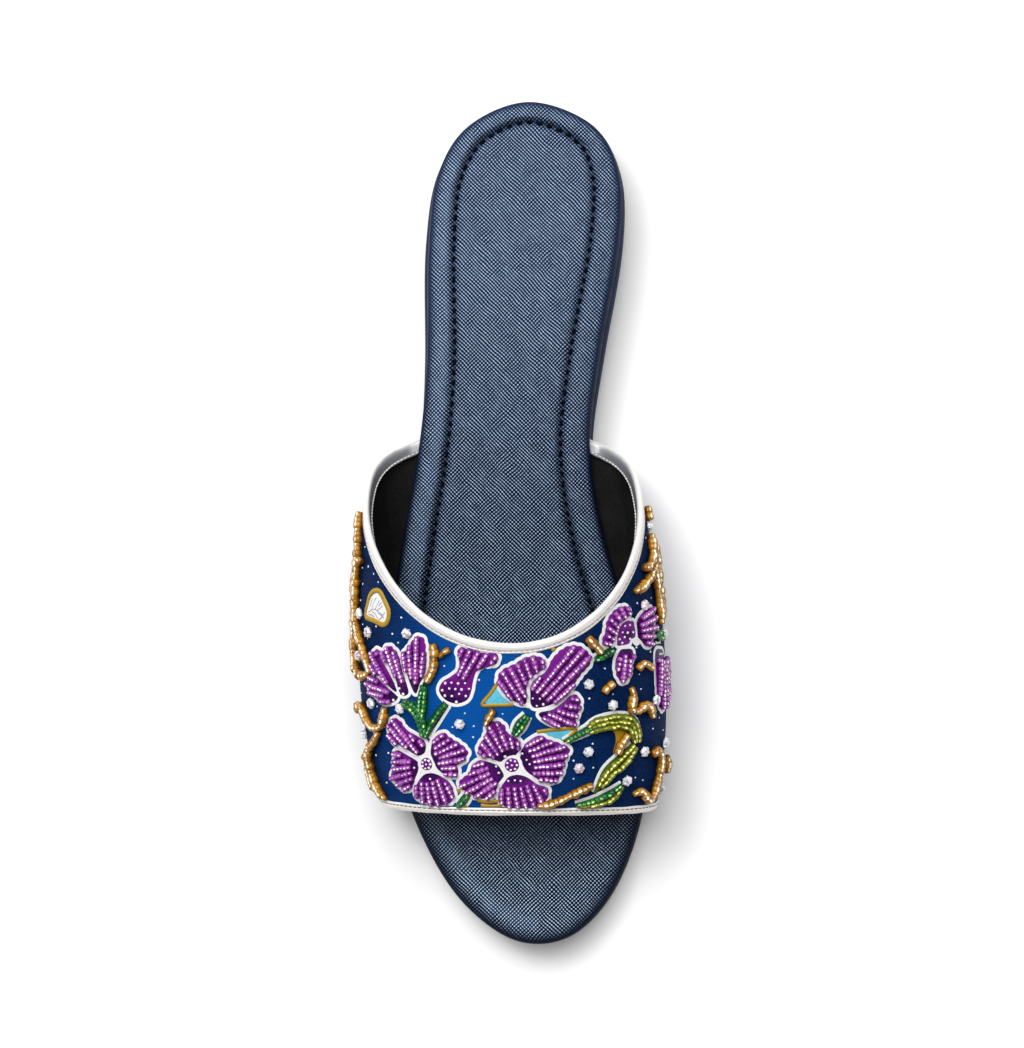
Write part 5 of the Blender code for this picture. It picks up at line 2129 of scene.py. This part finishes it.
def dots_on_ground(rng, count, reach):
    """Give painted dots scattered over the open ground of the cloth."""
    leaves = [leaf_outline(leaf.line) for leaf in LEAVES]
    taken = [np.array(STONES), np.array(MUSTARD_SPOTS), *leaves]
    taken += [open_curve(path) for path in (*GOLD_CORDS, *MUSTARD_LINES)]
    taken = np.concatenate(taken)
    closed = [petal_curve(petal) for petal in PETALS]
    closed += [closed_curve(patch) for patch in (WHITE_LEAF, *TURQUOISE_PATCHES)]
    grown = [curve + side_ways(curve, True) * PATCH_ROOM for curve in closed + leaves]
    found = np.zeros((0, 2))
    for across, share in rng.uniform((-reach, 0), (reach, 1), (count * TRIES_PER_DOT, 2)):
        back = np.interp(across * MM, *CHART.throat) / MM + THROAT_ROOM
        front = np.interp(across * MM, *CHART.front) / MM - FRONT_ROOM
        place = np.array([[across, back + (front - back) * share]])
        if np.min(np.linalg.norm(taken - place, axis=1)) < LINE_ROOM:
            continue
        if len(found) and np.min(np.linalg.norm(found - place, axis=1)) < DOT_ROOM:
            continue
        if any(contains(curve, place)[0] for curve in grown):
            continue
        found = np.concatenate([found, place])
        if len(found) == count:
            break
    return found


class SLIDE_OT_dots(Operator):
    """Painted dots on the cloth and on the dark bases of the petals"""

    bl_idname = "slide.dots"
    bl_label = "Painted dots"

    GROUND_COUNT = 90
    GROUND_REACH = 66.0
    DOME = ((-0.1, 0.5), (0.14, 0.44), (0.26, 0.24))
    PETAL_DOT_LIFT = 0.00004
    PETAL_DOT_WIDTH = 1.3
    SPOT_WIDTH = 2.6
    SPOT_FLATNESS = 0.4
    WIDTH_RANGE = (0.8, 1.2)

    def execute(self, context):
        sizes = context.scene.slide_sizes
        colours = context.scene.slide_colours
        rng = np.random.default_rng(SEED)
        dome = turned_form(self.DOME, 7)
        white = painted_finish("white_dot_paint", colours.paint)
        mustard = painted_finish("mustard_dot_paint", colours.mustard)
        ground = dots_on_ground(rng, self.GROUND_COUNT, self.GROUND_REACH)
        bases = dots_on_bases(rng)
        on_pads = sizes.pad_height + self.PETAL_DOT_LIFT
        groups = (
            ("ground_dots", ground, 0.0, 1.0, 1.0, white),
            ("petal_dots", bases, on_pads, self.PETAL_DOT_WIDTH, 1.0, white),
            ("mustard_spots", np.array(MUSTARD_SPOTS), 0.0, self.SPOT_WIDTH, self.SPOT_FLATNESS, mustard),
        )
        for name, chart, lift, scale, flatness, finish in groups:
            places, normal = settle(chart, np.full(len(chart), lift))
            first, second = ways_over(normal)
            width = sizes.dot_width * scale * rng.uniform(*self.WIDTH_RANGE, (len(chart), 1, 1))
            axes = np.stack([normal * flatness, first, second], 1) * width
            repeat(name, dome, places, axes, finish)
        return {"FINISHED"}


class SLIDE_OT_stage(Operator):
    """Pale floor, soft studio light from the upper left and the camera above the shoe"""

    bl_idname = "slide.stage"
    bl_label = "Stage"

    FLOOR_SIZE = 3.0
    FLOOR_GLOW = 0.12
    # Lights aimed at the origin: name, place, size, power in watts
    LIGHTS = (
        ("overhead_softbox", (-0.30, 1.15, 2.50), 2.4, 80.0),
        ("key_light", (-0.80, 1.00, 2.20), 0.8, 12.0),
    )
    LIGHT_AIM = (0.0, 0.0, 0.0)
    WHITE = (1.0, 1.0, 1.0, 1.0)
    WORLD_STRENGTH = 0.20
    NEAREST_SEEN = 0.05
    FARTHEST_SEEN = 20.0

    def execute(self, context):
        scene = context.scene
        colours = scene.slide_colours
        sheet = bmesh.new()
        bmesh.ops.create_grid(sheet, x_segments=2, y_segments=2, size=self.FLOOR_SIZE / 2)
        mesh = bpy.data.meshes.new("floor")
        sheet.to_mesh(mesh)
        sheet.free()
        sockets = {
            "Roughness": 0.9, "Specular IOR Level": 0.1,
            "Emission Strength": self.FLOOR_GLOW, "Emission Color": self.WHITE}
        finish = plain_finish("studio_floor", colours.floor, sockets, scale=40.0, depth=0.00001, spread=0.002)
        mesh.materials.append(finish.material)
        floor = bpy.data.objects.new("floor", mesh)
        scene.collection.objects.link(floor)
        world = bpy.data.worlds.new("studio")
        world.use_nodes = True
        sky = world.node_tree.nodes["Background"]
        sky.inputs["Color"].default_value = self.WHITE
        sky.inputs["Strength"].default_value = self.WORLD_STRENGTH
        scene.world = world
        for name, place, size, power in self.LIGHTS:
            light = bpy.data.lights.new(name, "AREA")
            light.shape = "DISK"
            light.size = size
            light.energy = power
            lamp = bpy.data.objects.new(name, light)
            lamp.matrix_world = looking(place, self.LIGHT_AIM)
            scene.collection.objects.link(lamp)
        camera = bpy.data.cameras.new("camera")
        camera.sensor_fit = "VERTICAL"
        camera.sensor_height = SENSOR_HEIGHT
        camera.lens = SENSOR_HEIGHT * FRAME_DEPTH / FRAME_HEIGHT_SEEN
        camera.clip_start = self.NEAREST_SEEN
        camera.clip_end = self.FARTHEST_SEEN
        viewer = bpy.data.objects.new("camera", camera)
        viewer.matrix_world = looking(CAMERA_PLACE, CAMERA_AIM)
        scene.collection.objects.link(viewer)
        scene.camera = viewer
        scene.view_settings.view_transform = "Standard"
        return {"FINISHED"}


def looking(place, aim):
    """Give the placement of a lamp or camera that looks from a place at an aim, with the heel upward."""
    back = (Vector(place) - Vector(aim)).normalized()
    right = Vector((0.0, 1.0, 0.0)).cross(back).normalized()
    up = back.cross(right)
    turned = Matrix((right, up, back)).transposed().to_4x4()
    return Matrix.Translation(place) @ turned


class SLIDE_PT_pieces(Panel):
    """Lists the pieces of the slide"""

    bl_label = "Beaded slide"
    bl_space_type = "VIEW_3D"
    bl_region_type = "UI"
    bl_category = "Slide"

    def draw(self, context):
        for operator in OPERATORS:
            self.layout.operator(operator.bl_idname)
        for settings in (context.scene.slide_sizes, context.scene.slide_colours):
            for name in settings.__annotations__:
                self.layout.prop(settings, name)


OPERATORS = (
    SLIDE_OT_outsole,
    SLIDE_OT_wedge,
    SLIDE_OT_footbed,
    SLIDE_OT_quilting,
    SLIDE_OT_vamp,
    SLIDE_OT_bindings,
    SLIDE_OT_patches,
    SLIDE_OT_beads,
    SLIDE_OT_stones,
    SLIDE_OT_dots,
    SLIDE_OT_stage,
)
CLASSES = (SlideSizes, SlideColours, *OPERATORS, SLIDE_PT_pieces)


def register():
    """Add the slide's settings, operators and panel to Blender."""
    for kind in CLASSES:
        bpy.utils.register_class(kind)
    bpy.types.Scene.slide_sizes = PointerProperty(type=SlideSizes)
    bpy.types.Scene.slide_colours = PointerProperty(type=SlideColours)


def unregister():
    """Remove the slide's settings, operators and panel."""
    del bpy.types.Scene.slide_colours
    del bpy.types.Scene.slide_sizes
    for kind in reversed(CLASSES):
        bpy.utils.unregister_class(kind)


def main():
    """Build every piece."""
    register()
    bpy.ops.slide.outsole()
    bpy.ops.slide.wedge()
    bpy.ops.slide.footbed()
    bpy.ops.slide.quilting()
    bpy.ops.slide.vamp()
    bpy.ops.slide.bindings()
    bpy.ops.slide.patches()
    bpy.ops.slide.beads()
    bpy.ops.slide.stones()
    bpy.ops.slide.dots()
    bpy.ops.slide.stage()


if __name__ == "__main__":
    main()
